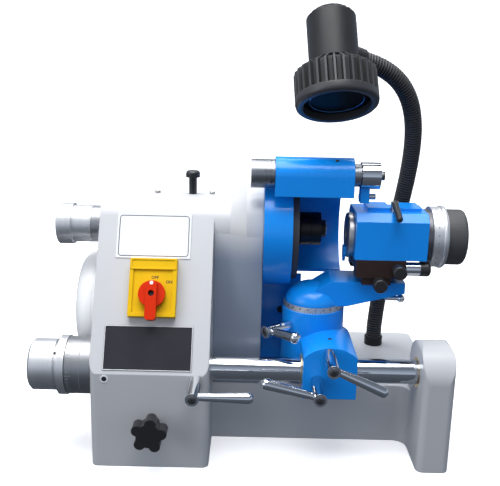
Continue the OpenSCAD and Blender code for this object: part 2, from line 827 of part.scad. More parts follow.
// Frame on the leaning front face: x along the machine, y up the slope, z out of the face
module on_lean(x, v) {
    translate([x, front_y + v * sin(lean_deg), crease_z + v * cos(lean_deg)])
        rotate([90 - lean_deg, 0, 0]) children();
}

// Turned end with a rounded rim; along +Z
module rounded_disc(r, h, e) {
    rotate_extrude() {
        square([r - e, h]);
        square([r, h - e]);
        intersection() {
            translate([r - e, h - e]) circle(r = e);
            square([r, h]);
        }
    }
}

module box_outline() {
    polygon([[front_y, 0], front_corner, front_tangent, spindle_at, rear_tangent, rear_corner, [rear_y, 0]]);
    translate(spindle_at) circle(r = housing_r);
}

module box_body() {
    intersection() {
        x_extrude(box_x0, box_x1) box_outline();
        linear_extrude(housing_top + wall)
            rounded_rect([box_x0, front_y], [box_x1, rear_y + 2 * edge_r], edge_r);
        y_extrude(front_y - wall, rear_y + wall)
            rounded_rect([box_x0, -2 * edge_r], [box_x1 + 2 * edge_r, housing_top + free_gap], edge_r);
    }
}

module housing_body() {
    turned_x([[0, box_x1], [housing_r, box_x1], [housing_r, flare_x0],
        [flange_r, flange_x1 - flange_t], [flange_r, flange_x1], [0, flange_x1]], spindle_y, spindle_z);
}

module upright_body() {
    intersection() {
        x_extrude(upright_x0, base_x1) {
            translate([front_y, 0]) square([2 * arch_r, bar_z]);
            translate(bar_at) circle(r = arch_r);
        }
        linear_extrude(bar_z + arch_r + wall)
            rounded_rect([upright_x0, front_y], [base_x1, bed_front_y + 2 * wall], edge_r);
        y_extrude(front_y - wall, bed_front_y + 2 * wall)
            rounded_rect([upright_x0, -2 * edge_r], [base_x1, bar_z + arch_r + free_gap], edge_r);
    }
}

module bed_body() {
    linear_extrude(bed_z) {
        rounded_rect([box_x1 - 2 * wall, bed_front_y], [base_x1, rear_y], edge_r);
        translate([upright_x0 + wall, bed_front_y]) square([upright_w - wall, 2 * edge_r]);
        inside_corner([upright_x0, bed_front_y]);
    }
}

// Concave rounding in the corner between the bed's front wall and the upright
module inside_corner(at) {
    steps = 6;
    middle = at - fillet_r * [1, 1];
    polygon(concat([at], [for (i = [0 : steps])
        middle + fillet_r * [sin(i * 90 / steps), cos(i * 90 / steps)]]));
}

module box_cavity() {
    x_extrude(box_x0 + wall, box_x1 - wall) difference() {
        polygon([[front_y + wall, wall],
            [front_y + wall, crease_z - wall * tan(half * lean_deg)],
            front_tangent + wall * [cos(lean_deg), -sin(lean_deg)],
            spindle_at,
            rear_tangent - wall * [cos(rear_lean_deg), sin(rear_lean_deg)],
            [rear_y - wall, rear_crease_z - wall * tan(half * rear_lean_deg)],
            [rear_y - wall, rear_open_z],
            [rear_y + cut, rear_open_z],
            [rear_y + cut, wall]]);
        translate(spindle_at) circle(r = quill_boss_r);
        translate(bar_at) circle(r = bar_boss_r);
    }
}

module at_bench_bolts() {
    for (x = [-half * bolt_dx, half * bolt_dx], y = [-half * bolt_dy, half * bolt_dy])
        translate([x, y, 0]) children();
}

module at_cover_screws() {
    for (x = cover_screw_xs, z = cover_screw_zs)
        translate([x, rear_y, z]) children();
}

module at_guard_screws() {
    for (a = guard_screw_degs)
        translate([guard_x0, spindle_y + guard_screw_at * cos(a), spindle_z + guard_screw_at * sin(a)])
            children();
}

module base_casting() color(casting_grey) difference() {
    union() {
        difference() {
            union() {
                box_body();
                bed_body();
            }
            box_cavity();
            block([box_x1 + wall, bed_front_y + wall, -cut], [base_x1 - wall, rear_y - wall, bed_z - wall]);
        }
        upright_body();
        housing_body();
        x_extrude(box_x1 - wall, flange_x1 - cut)
            polygon([[column_front_y, spindle_z], [bed_front_y, bed_z],
                [bed_front_y + half * wall, bed_z - wall], [column_rear_y, bed_z - wall],
                [column_rear_y, spindle_z]]);
        at_bench_bolts() cylinder(r = bolt_boss_r, h = bolt_depth + wall);
    }
    at_bench_bolts() translate([0, 0, -cut]) cylinder(r = bolt_r, h = bolt_depth + cut);
    rod_x(quill_r + run_gap, quill_bore_x0, flange_x1 + cut, spindle_y, spindle_z);
    rod_x(feed_spigot_r, box_x0 - cut, quill_bore_x0 + cut, spindle_y, spindle_z);
    block([belt_x - belt_window, -quill_r, motor_z], [belt_x + belt_window, quill_r, spindle_z]);
    rod_x(bar_r + free_gap, box_x0 - cut, base_x1 + cut, bar_y, bar_z);
    rod_x(bar_bush_r, box_x1 - box_bush_l, box_x1 + cut, bar_y, bar_z);
    rod_x(bar_bush_r, upright_x0 - cut, base_x1 - wall, bar_y, bar_z);
    rod_x(motor_r, box_x0 - cut, box_x0 + wall + cut, motor_y, motor_z);
    rod_z(plunger_r + run_gap, spindle_z, housing_top + cut, plunger_x, spindle_y);
    for (x = [oil_x0, oil_x1])
        rod_z(oil_r, spindle_z + quill_boss_r, housing_top + cut, x, spindle_y);
    rod_y(lever_stud_r + run_gap, front_y - cut, front_y + lever_stud_l + cut, box_lever_x, bar_z);
    rod_y(lever_stud_r + run_gap, front_y - cut, front_y + wall + cut, star_x, star_z);
    on_lean(switch_x, switch_v + half * switch_h)
        cube([switch_w - 2 * switch_margin, switch_h - 2 * switch_margin, 4 * wall], center = true);
    at_cover_screws() rotate([90, 0, 0]) translate([0, 0, -cut]) cylinder(r = screw_r, h = screw_l + cut);
    at_guard_screws() rotate([0, -90, 0]) translate([0, 0, -cut]) cylinder(r = screw_r, h = screw_l + cut);
}

module rear_cover() color(casting_grey) difference() {
    y_extrude(rear_y, rear_y + cover_t)
        rounded_rect([box_x0, wall], [box_x1, rear_open_z + wall], screw_r);
    at_cover_screws() rotate([-90, 0, 0]) translate([0, 0, -cut]) cylinder(r = screw_r, h = wall);
    rod_y(gland_r, rear_y - cut, rear_y + cover_t + cut, plate_x, 2 * wall);
}

// One screw; its head stands on z = 0 and its shank runs down
module small_screw(grip) {
    translate([0, 0, -grip]) cylinder(r = screw_r, h = grip);
    difference() {
        cylinder(r = screw_head_r, h = screw_head_h);
        translate([0, 0, half * screw_head_h]) cylinder(r = screw_r, h = screw_head_h, $fn = 6);
    }
}

module screws() color(part_black) {
    at_cover_screws() rotate([-90, 0, 0]) translate([0, 0, cover_t]) small_screw(screw_l);
    at_guard_screws() rotate([0, 90, 0]) translate([0, 0, guard_wall]) small_screw(screw_l);
    translate([skirt_screw_x, skirt_y, skirt_screw_z]) rotate([90, 0, 0]) small_screw(skirt_t);
}

module label_plates() {
    color("white") on_lean(plate_x, data_plate_v)
        block([-half * data_plate_w, 0, 0], [half * data_plate_w, data_plate_h, plate_t]);
    color(part_black) on_lean(plate_x, dark_plate_v)
        block([-half * dark_plate_w, 0, 0], [half * dark_plate_w, dark_plate_h, plate_t]);
}

module switch_body() color("gold") on_lean(switch_x, switch_v) difference() {
    union() {
        block([-half * switch_w, 0, 0], [half * switch_w, switch_h, switch_stand]);
        block([switch_margin + free_gap - half * switch_w, switch_margin + free_gap, -switch_depth],
            [half * switch_w - switch_margin - free_gap, switch_h - switch_margin - free_gap, cut]);
    }
    translate([0, switch_axis_v - switch_v, -switch_stand])
        cylinder(r = switch_shaft_r + run_gap, h = 2 * switch_stand + cut);
}

module switch_plate() color("gold") on_lean(switch_x, switch_v) translate([0, 0, switch_stand]) difference() {
    linear_extrude(switch_t) rounded_rect([-half * switch_w, 0], [half * switch_w, switch_h], switch_recess);
    block([switch_margin - half * switch_w, switch_margin, switch_t - switch_recess],
        [half * switch_w - switch_margin, switch_h - switch_strip_h, switch_t + cut]);
    translate([0, switch_axis_v - switch_v, -cut])
        cylinder(r = switch_shaft_r + run_gap, h = switch_t + 2 * cut);
}

module switch_knob() color("red") on_lean(switch_x, switch_axis_v)
    translate([0, 0, switch_stand + switch_t + free_gap]) {
        cylinder(r = switch_knob_r, h = switch_knob_h);
        difference() {
            linear_extrude(switch_grip_h) rounded_rect([-half * switch_grip_w, -switch_grip_l],
                [half * switch_grip_w, switch_knob_r - switch_recess], 2 * switch_recess);
            translate([0, 0, switch_knob_h]) cylinder(r = switch_shaft_r, h = switch_grip_h);
        }
        translate([0, 0, -switch_t - switch_stand])
            cylinder(r = switch_shaft_r, h = switch_t + switch_stand + cut);
    }

module bar_bushes() color("goldenrod") {
    for (span = [[box_x1 - box_bush_l, box_x1], [upright_x0, base_x1 - wall]])
        difference() {
            rod_x(bar_bush_r, span[0], span[1], bar_y, bar_z);
            rod_x(bar_r + run_gap, span[0] - cut, span[1] + cut, bar_y, bar_z);
        }
}

module end_cap() color(part_black) translate([base_x1, bar_y, bar_z]) rotate([0, 90, 0])
    rounded_disc(end_cap_r, end_cap_t, half * end_cap_t);

module oil_cups() color(steel_grey) for (x = [oil_x0, oil_x1])
    translate([x, spindle_y, 0]) {
        rod_z(oil_r, spindle_z + quill_boss_r, housing_top, 0, 0);
        translate([0, 0, housing_top]) rounded_disc(oil_r, oil_h, half * oil_h);
    }

module cable_gland() color(part_black) difference() {
    union() {
        rod_y(gland_r, rear_y - wall, rear_y + cover_t, plate_x, 2 * wall);
        rod_y(gland_r + half * wall, rear_y + cover_t, rear_y + cover_t + half * gland_l, plate_x, 2 * wall);
        rod_y(gland_r, rear_y + cover_t, rear_y + cover_t + gland_l, plate_x, 2 * wall);
    }
    rod_y(half * gland_r, rear_y - wall - cut, rear_y + cover_t + gland_l + cut, plate_x, 2 * wall);
}

// Sector of the Y-Z plane round the spindle, from the lower rear up to the upper front
module guard_sector() {
    steps = 8;
    span = guard_high_deg + guard_low_deg;
    polygon(concat([[0, 0]], [for (i = [0 : steps])
        2 * guard_r * [cos(i * span / steps - guard_low_deg), sin(i * span / steps - guard_low_deg)]]));
}

module wheel_guard() color(guard_blue) difference() {
    union() {
        rod_x(guard_r, guard_x0, guard_band_x1, spindle_y, spindle_z);
        x_extrude(guard_x0, guard_x1) translate(spindle_at) intersection() {
            circle(r = guard_r);
            guard_sector();
        }
        rod_x(dresser_boss_r, dresser_boss_x0, dresser_boss_x1, dresser_y, dresser_z);
        block([dresser_boss_x0, dresser_y - dresser_boss_r, dresser_z - dresser_web],
            [dresser_boss_x1, dresser_y + dresser_boss_r, dresser_z]);
        block([guard_x0, skirt_y, bed_z], [skirt_x1, skirt_y + skirt_t, skirt_z1]);
    }
    rod_x(guard_in_r, guard_x0 + guard_wall, guard_x1 + cut, spindle_y, spindle_z);
    rod_x(hub_neck_r, guard_x0 - cut, guard_x0 + guard_wall + cut, spindle_y, spindle_z);
    rod_x(dresser_shaft_r + run_gap, dresser_boss_x0 - cut, dresser_boss_x1 + cut, dresser_y, dresser_z);
    at_guard_screws() rotate([0, 90, 0]) translate([0, 0, -cut])
        cylinder(r = screw_r, h = guard_wall + 2 * cut);
    rod_y(screw_r, skirt_y - cut, skirt_y + skirt_t + cut, skirt_screw_x, skirt_screw_z);
}

module feed_bush() color(dial_grey) difference() {
    union() {
        rod_x(feed_bush_r, feed_bush_x0, box_x0, spindle_y, spindle_z);
        rod_x(feed_spigot_r, box_x0, quill_bore_x0, spindle_y, spindle_z);
    }
    rod_x(feed_screw_r + run_gap, feed_bush_x0 - cut, quill_bore_x0 + cut, spindle_y, spindle_z);
}

module feed_dial() color(dial_grey)
    turned_x([[0, feed_cap_x1 - feed_cap_l], [feed_cap_r - cut, feed_cap_x1 - feed_cap_l],
        [feed_cap_r, feed_cap_x1 - feed_cap_l + cut], [feed_cap_r, feed_cap_x1], [feed_bush_r, feed_cap_x1],
        [feed_bush_r, feed_dial_x1], [feed_screw_r, feed_dial_x1], [feed_screw_r, quill_x0 - cut],
        [0, quill_x0 - cut]], spindle_y, spindle_z);

module quill() color(steel_grey) difference() {
    rod_x(quill_r, quill_x0 - quill_cap_t, quill_x1, spindle_y, spindle_z);
    rod_x(bearing_r, quill_x0, quill_x1 + cut, spindle_y, spindle_z);
    rod_x(feed_screw_r + run_gap, quill_x0 - quill_cap_t - cut, quill_x0 + cut, spindle_y, spindle_z);
    block([belt_x - belt_window, -quill_r - cut, spindle_z - quill_r - cut],
        [belt_x + belt_window, quill_r + cut, spindle_z]);
    block([plunger_x - plunger_r - quill_travel - free_gap, -plunger_r - free_gap, spindle_z],
        [plunger_x + plunger_r + quill_travel + free_gap, plunger_r + free_gap, spindle_z + quill_r + cut]);
}

module spindle_bearings() color(steel_grey)
    for (x = [quill_x0 + bearing_inset, quill_x1 - bearing_inset - bearing_w])
        difference() {
            rod_x(bearing_r, x, x + bearing_w, spindle_y, spindle_z);
            rod_x(spindle_r + run_gap, x - cut, x + bearing_w + cut, spindle_y, spindle_z);
        }

module spindle() color(steel_grey)
    turned_x([[0, quill_x0 + 2 * cut], [spindle_r, quill_x0 + 2 * cut], [spindle_r, hub_x1],
        [spindle_end_r, hub_x1], [spindle_end_r, hub_x1 + wheel_nut_t + cut],
        [0, hub_x1 + wheel_nut_t + cut]], spindle_y, spindle_z);

// Flat pulley with a rim on each side of the belt
module pulley(r, bore, at) {
    inner = half * belt_w + belt_side_gap;
    outer = inner + pulley_rim_t;
    rim_r = r + pulley_rim_h;
    turned_x([[bore, belt_x - outer], [rim_r, belt_x - outer], [rim_r, belt_x - inner], [r, belt_x - inner],
        [r, belt_x + inner], [rim_r, belt_x + inner], [rim_r, belt_x + outer], [bore, belt_x + outer]],
        at[0], at[1]);
}

module spindle_pulley() color(steel_grey) pulley(spindle_pulley_r, spindle_r, spindle_at);

module inner_flange() color(steel_grey) difference() {
    rod_x(hub_r, wheel_x0 - inner_flange_t, wheel_x0, spindle_y, spindle_z);
    rod_x(spindle_r, wheel_x0 - inner_flange_t - cut, wheel_x0 + cut, spindle_y, spindle_z);
}

module grinding_wheel() color([0.12, 0.12, 0.13]) difference() {
    rod_x(wheel_r, wheel_x0, wheel_x1, spindle_y, spindle_z);
    rod_x(spindle_r, wheel_x0 - cut, wheel_x1 + cut, spindle_y, spindle_z);
}

module outer_flange() color(part_black) {
    seam_x = half * (hub_x0 + hub_x1);
    turned_x([[spindle_r, wheel_x1], [hub_neck_r, wheel_x1], [hub_neck_r, hub_x0], [hub_r, hub_x0],
        [hub_r, seam_x - half * hub_seam], [hub_r - hub_seam, seam_x - half * hub_seam],
        [hub_r - hub_seam, seam_x + half * hub_seam], [hub_r, seam_x + half * hub_seam],
        [hub_r, hub_x1], [spindle_r, hub_x1]], spindle_y, spindle_z);
}

module wheel_nut() color(part_black) difference() {
    translate([hub_x1, spindle_y, spindle_z]) rotate([0, 90, 0])
        cylinder(r = wheel_nut_r, h = wheel_nut_t, $fn = 6);
    rod_x(spindle_end_r, hub_x1 - cut, hub_x1 + wheel_nut_t + cut, spindle_y, spindle_z);
}

module motor_shell() color(casting_grey) difference() {
    union() {
        rod_x(motor_r, motor_x0 + bell_l, motor_x1, motor_y, motor_z);
        rod_x(motor_flange_r, box_x0 + wall, box_x0 + wall + motor_flange_t, motor_y, motor_z);
    }
    rod_x(motor_r - motor_wall, motor_x0 + bell_l - cut, motor_x1 - 2 * motor_wall, motor_y, motor_z);
    rod_x(motor_shaft_r + run_gap, motor_x1 - wall, motor_x1 + cut, motor_y, motor_z);
}

module motor_bell() color(casting_grey) difference() {
    translate([motor_x0 + bell_l, motor_y, motor_z]) rotate([0, -90, 0])
        rounded_disc(motor_r, bell_l, bell_l - motor_wall);
    rod_x(motor_shaft_r + run_gap, motor_x0 + half * bell_l, motor_x0 + bell_l + cut, motor_y, motor_z);
}

rotor_x0 = half * (motor_x0 + bell_l + motor_x1 - rotor_l);

module stator() color(steel_grey) difference() {
    rod_x(motor_r - motor_wall, rotor_x0, rotor_x0 + rotor_l, motor_y, motor_z);
    rod_x(rotor_r + air_gap, rotor_x0 - cut, rotor_x0 + rotor_l + cut, motor_y, motor_z);
}

module rotor() color(steel_grey) {
    rod_x(rotor_r, rotor_x0, rotor_x0 + rotor_l, motor_y, motor_z);
    rod_x(motor_shaft_r, motor_x0 + half * bell_l + cut, belt_x + belt_window + 2 * wall, motor_y, motor_z);
}

module motor_pulley() color(steel_grey) pulley(motor_pulley_r, motor_shaft_r, motor_at);

// Outline round both pulleys at a distance from their rims
module belt_outline(away) {
    r_up = spindle_pulley_r + away;
    r_low = motor_pulley_r + away;
    between = spindle_at - motor_at;
    along = between / norm(between);
    across = [-along[1], along[0]];
    tip = (r_low - r_up) / norm(between);
    left = tip * along + sqrt(1 - tip * tip) * across;
    right = tip * along - sqrt(1 - tip * tip) * across;
    polygon([spindle_at + r_up * left, motor_at + r_low * left, motor_at + r_low * right,
        spindle_at + r_up * right]);
    translate(spindle_at) circle(r = r_up);
    translate(motor_at) circle(r = r_low);
}

module drive_belt() color(part_black)
    x_extrude(belt_x - half * belt_w, belt_x + half * belt_w) difference() {
        belt_outline(belt_clear + belt_t);
        belt_outline(belt_clear);
    }

module lock_plunger() color(part_black) {
    rod_z(plunger_r, spindle_z + quill_r + cut, spindle_z + plunger_top, plunger_x, spindle_y);
    translate([plunger_x, spindle_y, spindle_z + plunger_top - plunger_head_h])
        rounded_disc(plunger_head_r, plunger_head_h, 3 * cut);
}

module dresser_shaft() color(steel_grey)
    turned_x([[0, dresser_boss_x0 - free_gap - dresser_head_l],
        [dresser_head_r, dresser_boss_x0 - free_gap - dresser_head_l],
        [dresser_head_r, dresser_boss_x0 - free_gap], [dresser_shaft_r, dresser_boss_x0 - free_gap],
        [dresser_shaft_r, dresser_collar_x0 - free_gap], [dresser_end_r, dresser_collar_x0 - free_gap],
        [dresser_end_r, dresser_collar_x1], [dresser_pin_r, dresser_collar_x1],
        [dresser_pin_r, dresser_collar_x1 + dresser_pin_l], [0, dresser_collar_x1 + dresser_pin_l]],
        dresser_y, dresser_z);

module dresser_arm() color(guard_blue) difference() {
    union() {
        rod_x(dresser_collar_r, dresser_collar_x0, dresser_collar_x1, dresser_y, dresser_z);
        block([dresser_collar_x0, dresser_y - half * dresser_arm_d, dresser_arm_z0],
            [dresser_collar_x0 + dresser_arm_w, dresser_y + half * dresser_arm_d, dresser_z]);
        rod_x(diamond_r, dresser_collar_x1 - diamond_r - diamond_l, dresser_collar_x1 - diamond_r,
            dresser_y, diamond_z);
    }
    rod_x(dresser_end_r + run_gap, dresser_collar_x0 - cut, dresser_collar_x1 + cut, dresser_y, dresser_z);
}

module bar_collar() color(dial_grey) difference() {
    rod_x(bar_collar_r, bar_collar_x0, box_x0, bar_y, bar_z);
    rod_x(bar_screw_r + run_gap, bar_collar_x0 - cut, box_x0 + cut, bar_y, bar_z);
}

module bar_dial() color(dial_grey) {
    neck_r_here = bar_knob_r - bar_neck_d;
    turned_x([[0, bar_knob_x1 - bar_knob_l], [bar_knob_r - bar_neck_d, bar_knob_x1 - bar_knob_l],
        [bar_knob_r, bar_knob_x1 - bar_knob_l + bar_neck_d], [bar_knob_r, bar_knob_x1],
        [neck_r_here, bar_knob_x1], [neck_r_here, bar_flange_x0], [bar_flange_r, bar_flange_x0],
        [bar_flange_r, bar_dial_x1], [bar_screw_r, bar_dial_x1], [bar_screw_r, bar_x0 + bar_screw_depth],
        [0, bar_x0 + bar_screw_depth]], bar_y, bar_z);
}

module guide_bar() color(bright_chrome) difference() {
    rod_x(bar_r, bar_x0, bar_x1, bar_y, bar_z);
    rod_x(bar_screw_r + run_gap, bar_x0 - cut, bar_x0 + bar_screw_depth + bar_travel + cut, bar_y, bar_z);
}

module carriage_bush() color("goldenrod") difference() {
    rod_x(carriage_bush_r, block_x0 - cut, block_x1 + cut, bar_y, bar_z);
    rod_x(bar_r + run_gap, block_x0 - 2 * cut, block_x1 + 2 * cut, bar_y, bar_z);
}

// Front outline of the clamp block with its round crown
module block_outline() {
    rise = block_crown - block_shoulder;
    crown_r = (pow(half * block_w, 2) + pow(rise, 2)) / (2 * rise);
    translate([block_x0, bar_z - block_below]) square([block_w, block_below + block_shoulder]);
    intersection() {
        translate([block_x0, bar_z]) square([block_w, block_crown]);
        translate([block_x0 + half * block_w, bar_z + block_crown - crown_r]) circle(r = crown_r);
    }
}

module carriage() color(guard_blue) difference() {
    union() {
        y_extrude(lever_face_y, swivel_y) block_outline();
        rod_z(column_r, column_z0, ring_z0, swivel_x, swivel_y);
    }
    block([block_x0 - cut, bed_front_y - wall, bar_z - block_below - cut],
        [block_x1 + cut, rear_y, column_z0]);
    rod_x(carriage_bush_r + run_gap, block_x0 - column_r, block_x1 + cut, bar_y, bar_z);
    rod_z(pivot_r + run_gap, ring_z0 - pivot_depth, ring_z0 + cut, swivel_x, swivel_y);
    rod_y(lever_stud_r + run_gap, lever_face_y - cut, lever_face_y + lever_stud_l + free_gap,
        swing_lever_x, bar_z + swing_lever_up);
    rod_y(lever_stud_r + run_gap, lever_face_y - cut, lever_face_y + lever_stud_l + free_gap,
        slide_lever_x, bar_z);
    on_lock_axis() cylinder(r = lever_stud_r + run_gap, h = column_r + cut);
}

module angle_ring() color(dial_grey) difference() {
    rod_z(ring_r, ring_z0, ring_z1, swivel_x, swivel_y);
    rod_z(pivot_r + run_gap, ring_z0 - cut, ring_z1 + cut, swivel_x, swivel_y);
}

module swivel_arm() color(guard_blue) difference() {
    union() {
        translate([swivel_x, swivel_y, arm_low_z]) rounded_disc(dome_r, dome_h, dome_edge_r);
        y_extrude(swivel_y - half * arm_d, swivel_y + half * arm_d)
            polygon([[arm_x0, arm_low_z], [arm_x0, arm_low_z + half * dome_h],
                [swivel_x + dome_edge_r, arm_z1], [arm_x1, arm_z1], [arm_x1, arm_z1 - arm_tip_h],
                [swivel_x + column_r, arm_low_z]]);
        rod_z(pivot_r, ring_z0 - pivot_depth + cut, arm_low_z + cut, swivel_x, swivel_y);
    }
    rod_z(small_rod_r + run_gap, arm_lever_z - arm_lever_drop, arm_z1 - half * arm_tip_h,
        arm_lever_x, swivel_y - half * slide_screw_off);
}

// Dovetail outline on the slide base, grown by a clearance
module dovetail(grow) {
    low = half * dovetail_w + grow;
    high = low + dovetail_flare;
    top = slide_z0 + dovetail_h + grow;
    polygon([[swivel_y - low, slide_z0 - cut], [swivel_y - low, slide_z0], [swivel_y - high, top],
        [swivel_y + high, top], [swivel_y + low, slide_z0], [swivel_y + low, slide_z0 - cut]]);
}

module slide_base() color([0.16, 0.12, 0.10]) difference() {
    union() {
        block([slide_base_x0, swivel_y - half * slide_base_d, arm_z1],
            [slide_base_x0 + slide_base_l, swivel_y + half * slide_base_d, slide_z0]);
        x_extrude(slide_base_x0, slide_base_x0 + slide_base_l) dovetail(0);
    }
    rod_y(lock_screw_r + run_gap, swivel_y - half * slide_base_d - cut, slide_face_y + lock_screw_l + cut,
        base_lock_x, base_lock_z);
}

module cross_slide() color([0.16, 0.12, 0.10]) difference() {
    block([slide_x0, slide_face_y, slide_z0 + run_gap], [slide_x1, swivel_y + head_front, slide_z1]);
    x_extrude(slide_x0 - cut, slide_x1 + cut) dovetail(2 * run_gap);
    rod_y(lock_screw_r + run_gap, slide_face_y - cut, slide_face_y + lock_screw_l + cut,
        slide_lock_x, slide_lock_z);
    rod_x(slide_screw_r + run_gap, slide_x1 - slide_screw_grip, slide_x1 + cut, slide_screw_y, slide_screw_z);
}

module slide_screw() color(bright_chrome) {
    rod_x(slide_screw_r, slide_x1 - slide_screw_grip + cut, thimble_x0 + cut, slide_screw_y, slide_screw_z);
    rod_x(barrel_r, slide_x1 + free_gap, thimble_x0 + cut, slide_screw_y, slide_screw_z);
    translate([thimble_x0, slide_screw_y, slide_screw_z]) rotate([0, 90, 0])
        rounded_disc(thimble_r, thimble_l, half * thimble_r);
}

module work_head() color(guard_blue) difference() {
    union() {
        x_extrude(head_x0, head_x1) translate(work_at)
            polygon([[-head_front, head_low], [-head_front, head_face_top], [-bevel_half, head_bevel_top],
                [bevel_half, head_bevel_top], [head_front, head_face_top], [head_front, head_low]]);
        block([ridge_x0, swivel_y - ridge_half, work_z],
            [ridge_x0 + ridge_l, swivel_y + ridge_half, work_z + ridge_top]);
    }
    rod_x(work_r + run_gap, head_x0 - cut, head_x1 + cut, swivel_y, work_z);
    block([index_pin_x - half * ridge_gap, swivel_y - ridge_half - cut, work_z + head_bevel_top],
        [index_pin_x + half * ridge_gap, swivel_y + ridge_half + cut, work_z + ridge_top + cut]);
    rod_z(index_pin_r + run_gap, work_z + half * work_r, index_seat_z, index_pin_x, index_pin_y);
}

// Frame of the index pin: z runs out of the work axis, up and to the front
module index_pin() color(part_black) {
    top_z = index_seat_z + index_collar_l;
    rod_z(index_pin_r, work_z + work_r + cut, top_z, index_pin_x, index_pin_y);
    rod_z(index_collar_r, index_seat_z, top_z, index_pin_x, index_pin_y);
    translate([index_pin_x, index_pin_y, top_z - half * index_handle_r]) rotate([90 + index_drop_deg, 0, 0])
        rounded_disc(index_handle_r, index_handle_l, 3 * cut);
}

module work_spindle() color(steel_grey)
    turned_x([[work_bore_r, nose_x0], [nose_r - cut, nose_x0], [nose_r, nose_x0 + cut],
        [nose_r, nose_x0 + nose_l], [work_r, nose_x0 + nose_l], [work_r, work_x1],
        [work_bore_r, work_x1]], swivel_y, work_z);

module index_drum() color(dial_grey)
    turned_x([[work_r, index_x0], [index_r, index_x0], [index_r, drum_x0], [drum_r, drum_x0],
        [drum_r, work_knob_x0], [work_r, work_knob_x0]], swivel_y, work_z);

module work_knob() color(part_black) difference() {
    translate([work_knob_x0, swivel_y, work_z]) rotate([0, 90, 0])
        rounded_disc(work_knob_r, work_knob_l, work_knob_edge);
    rod_x(work_r, work_knob_x0 - cut, work_x1, swivel_y, work_z);
    rod_x(work_bore_r, work_x1 - cut, work_knob_x0 + work_knob_l + cut, swivel_y, work_z);
}

module stop_finger() color(guard_blue) x_extrude(nose_x0 - finger_t, nose_x0) translate(work_at)
    polygon([[-half * finger_w, -finger_r0], [half * finger_w, -finger_r0],
        [half * finger_w, -half * (finger_r0 + finger_r1)], [0, -finger_r1],
        [-half * finger_w, -half * (finger_r0 + finger_r1)]]);

// Clamp lever: stud, hub and tapering handle; turn is clockwise from pointing right
module clamp_lever(x, z, face_y, turn) color(bright_chrome) {
    hub_y = face_y - free_gap - lever_hub_l;
    rod_y(lever_stud_r, face_y - cut, face_y + lever_stud_l, x, z);
    rod_y(lever_hub_r, hub_y, face_y - free_gap, x, z);
    translate([x, hub_y + lever_hub_r, z]) rotate([0, 90 + turn, 0]) {
        cylinder(r1 = lever_handle_r0, r2 = lever_handle_r1, h = lever_handle_l);
        translate([0, 0, lever_handle_l]) sphere(r = lever_handle_r1);
    }
}

box_lever_deg = 0;
swing_lever_deg = 24;
slide_lever_deg = 194;
lock_deg = 217;
lock_lift_deg = 8;
star_deg = 82;
index_drop_deg = 20;

module box_lever() clamp_lever(box_lever_x, bar_z, front_y, box_lever_deg);

module swing_lever() clamp_lever(swing_lever_x, bar_z + swing_lever_up, lever_face_y, swing_lever_deg);

module slide_lever() clamp_lever(slide_lever_x, bar_z, lever_face_y, slide_lever_deg);

module on_lock_axis()
    translate([swivel_x, swivel_y, lock_z]) rotate([0, 0, lock_deg]) rotate([0, 90, 0]) children();

module swivel_lock() color(bright_chrome) on_lock_axis() {
    translate([0, 0, pivot_r + 2 * free_gap]) cylinder(r = lever_stud_r, h = column_r - pivot_r);
    translate([0, 0, column_r + free_gap]) cylinder(r = lever_hub_r, h = lock_hub_l);
    translate([0, 0, column_r + lock_hub_l - lever_hub_r]) rotate([-90, 0, lock_lift_deg]) {
        cylinder(r1 = lever_handle_r0, r2 = lever_handle_r1, h = lock_handle_l);
        translate([0, 0, lock_handle_l]) sphere(r = ball_r);
    }
}

module arm_lever() color(bright_chrome) {
    y = swivel_y - half * slide_screw_off;
    rod_z(small_rod_r, arm_lever_z, arm_z1 - half * arm_tip_h - cut, arm_lever_x, y);
    rod_x(small_rod_r, arm_lever_x, arm_lever_x + arm_lever_l, y, arm_lever_z);
    translate([arm_lever_x, y, arm_lever_z]) sphere(r = small_rod_r);
    translate([arm_lever_x + arm_lever_l, y, arm_lever_z]) sphere(r = half * (ball_r + small_rod_r));
}

module star_knob() color(part_black) {
    back_y = front_y - free_gap;
    knob_y = back_y - star_neck_l;
    rod_y(lever_stud_r, knob_y, front_y + wall, star_x, star_z);
    rod_y(star_neck_r, knob_y - cut, back_y, star_x, star_z);
    y_extrude(knob_y - star_t, knob_y) translate([star_x, star_z]) {
        circle(r = star_lobe_at);
        for (i = [0 : star_lobes - 1])
            rotate(star_deg + i * 360 / star_lobes) translate([star_lobe_at, 0]) circle(r = star_lobe_r);
    }
}

// Round lock knob in front of a face
module lock_knob(x, z, face_y) color(part_black) {
    rod_y(lock_screw_r, face_y - 2 * cut, face_y + lock_screw_l, x, z);
    translate([x, face_y - cut, z]) rotate([90, 0, 0]) rounded_disc(lock_knob_r, lock_knob_l, 2 * cut);
}

module slide_lock_knob() lock_knob(slide_lock_x, slide_lock_z, slide_face_y);

module base_lock_knob() lock_knob(base_lock_x, base_lock_z, slide_face_y);

module lamp_frame() {
    translate(lamp_at) rotate([-lamp_tilt, -lamp_lean, 0]) children();
}

module lamp_body() color(part_black) lamp_frame() difference() {
    union() {
        translate([0, 0, lamp_head_h]) rotate_extrude()
            polygon([[0, 0], [lamp_body_r, 0], [lamp_body_r, lamp_body_l - lamp_top_c],
                [lamp_body_r - lamp_top_c, lamp_body_l], [0, lamp_body_l]]);
        on_neck_axis() cylinder(r = neck_socket_r, h = socket_end);
    }
    on_neck_axis() translate([0, 0, socket_end - neck_depth])
        cylinder(r = neck_r + free_gap, h = neck_depth + cut);
}

module on_neck_axis() {
    translate([0, 0, neck_up]) rotate([0, 0, neck_turn]) rotate([0, 90 + neck_drop, 0]) children();
}

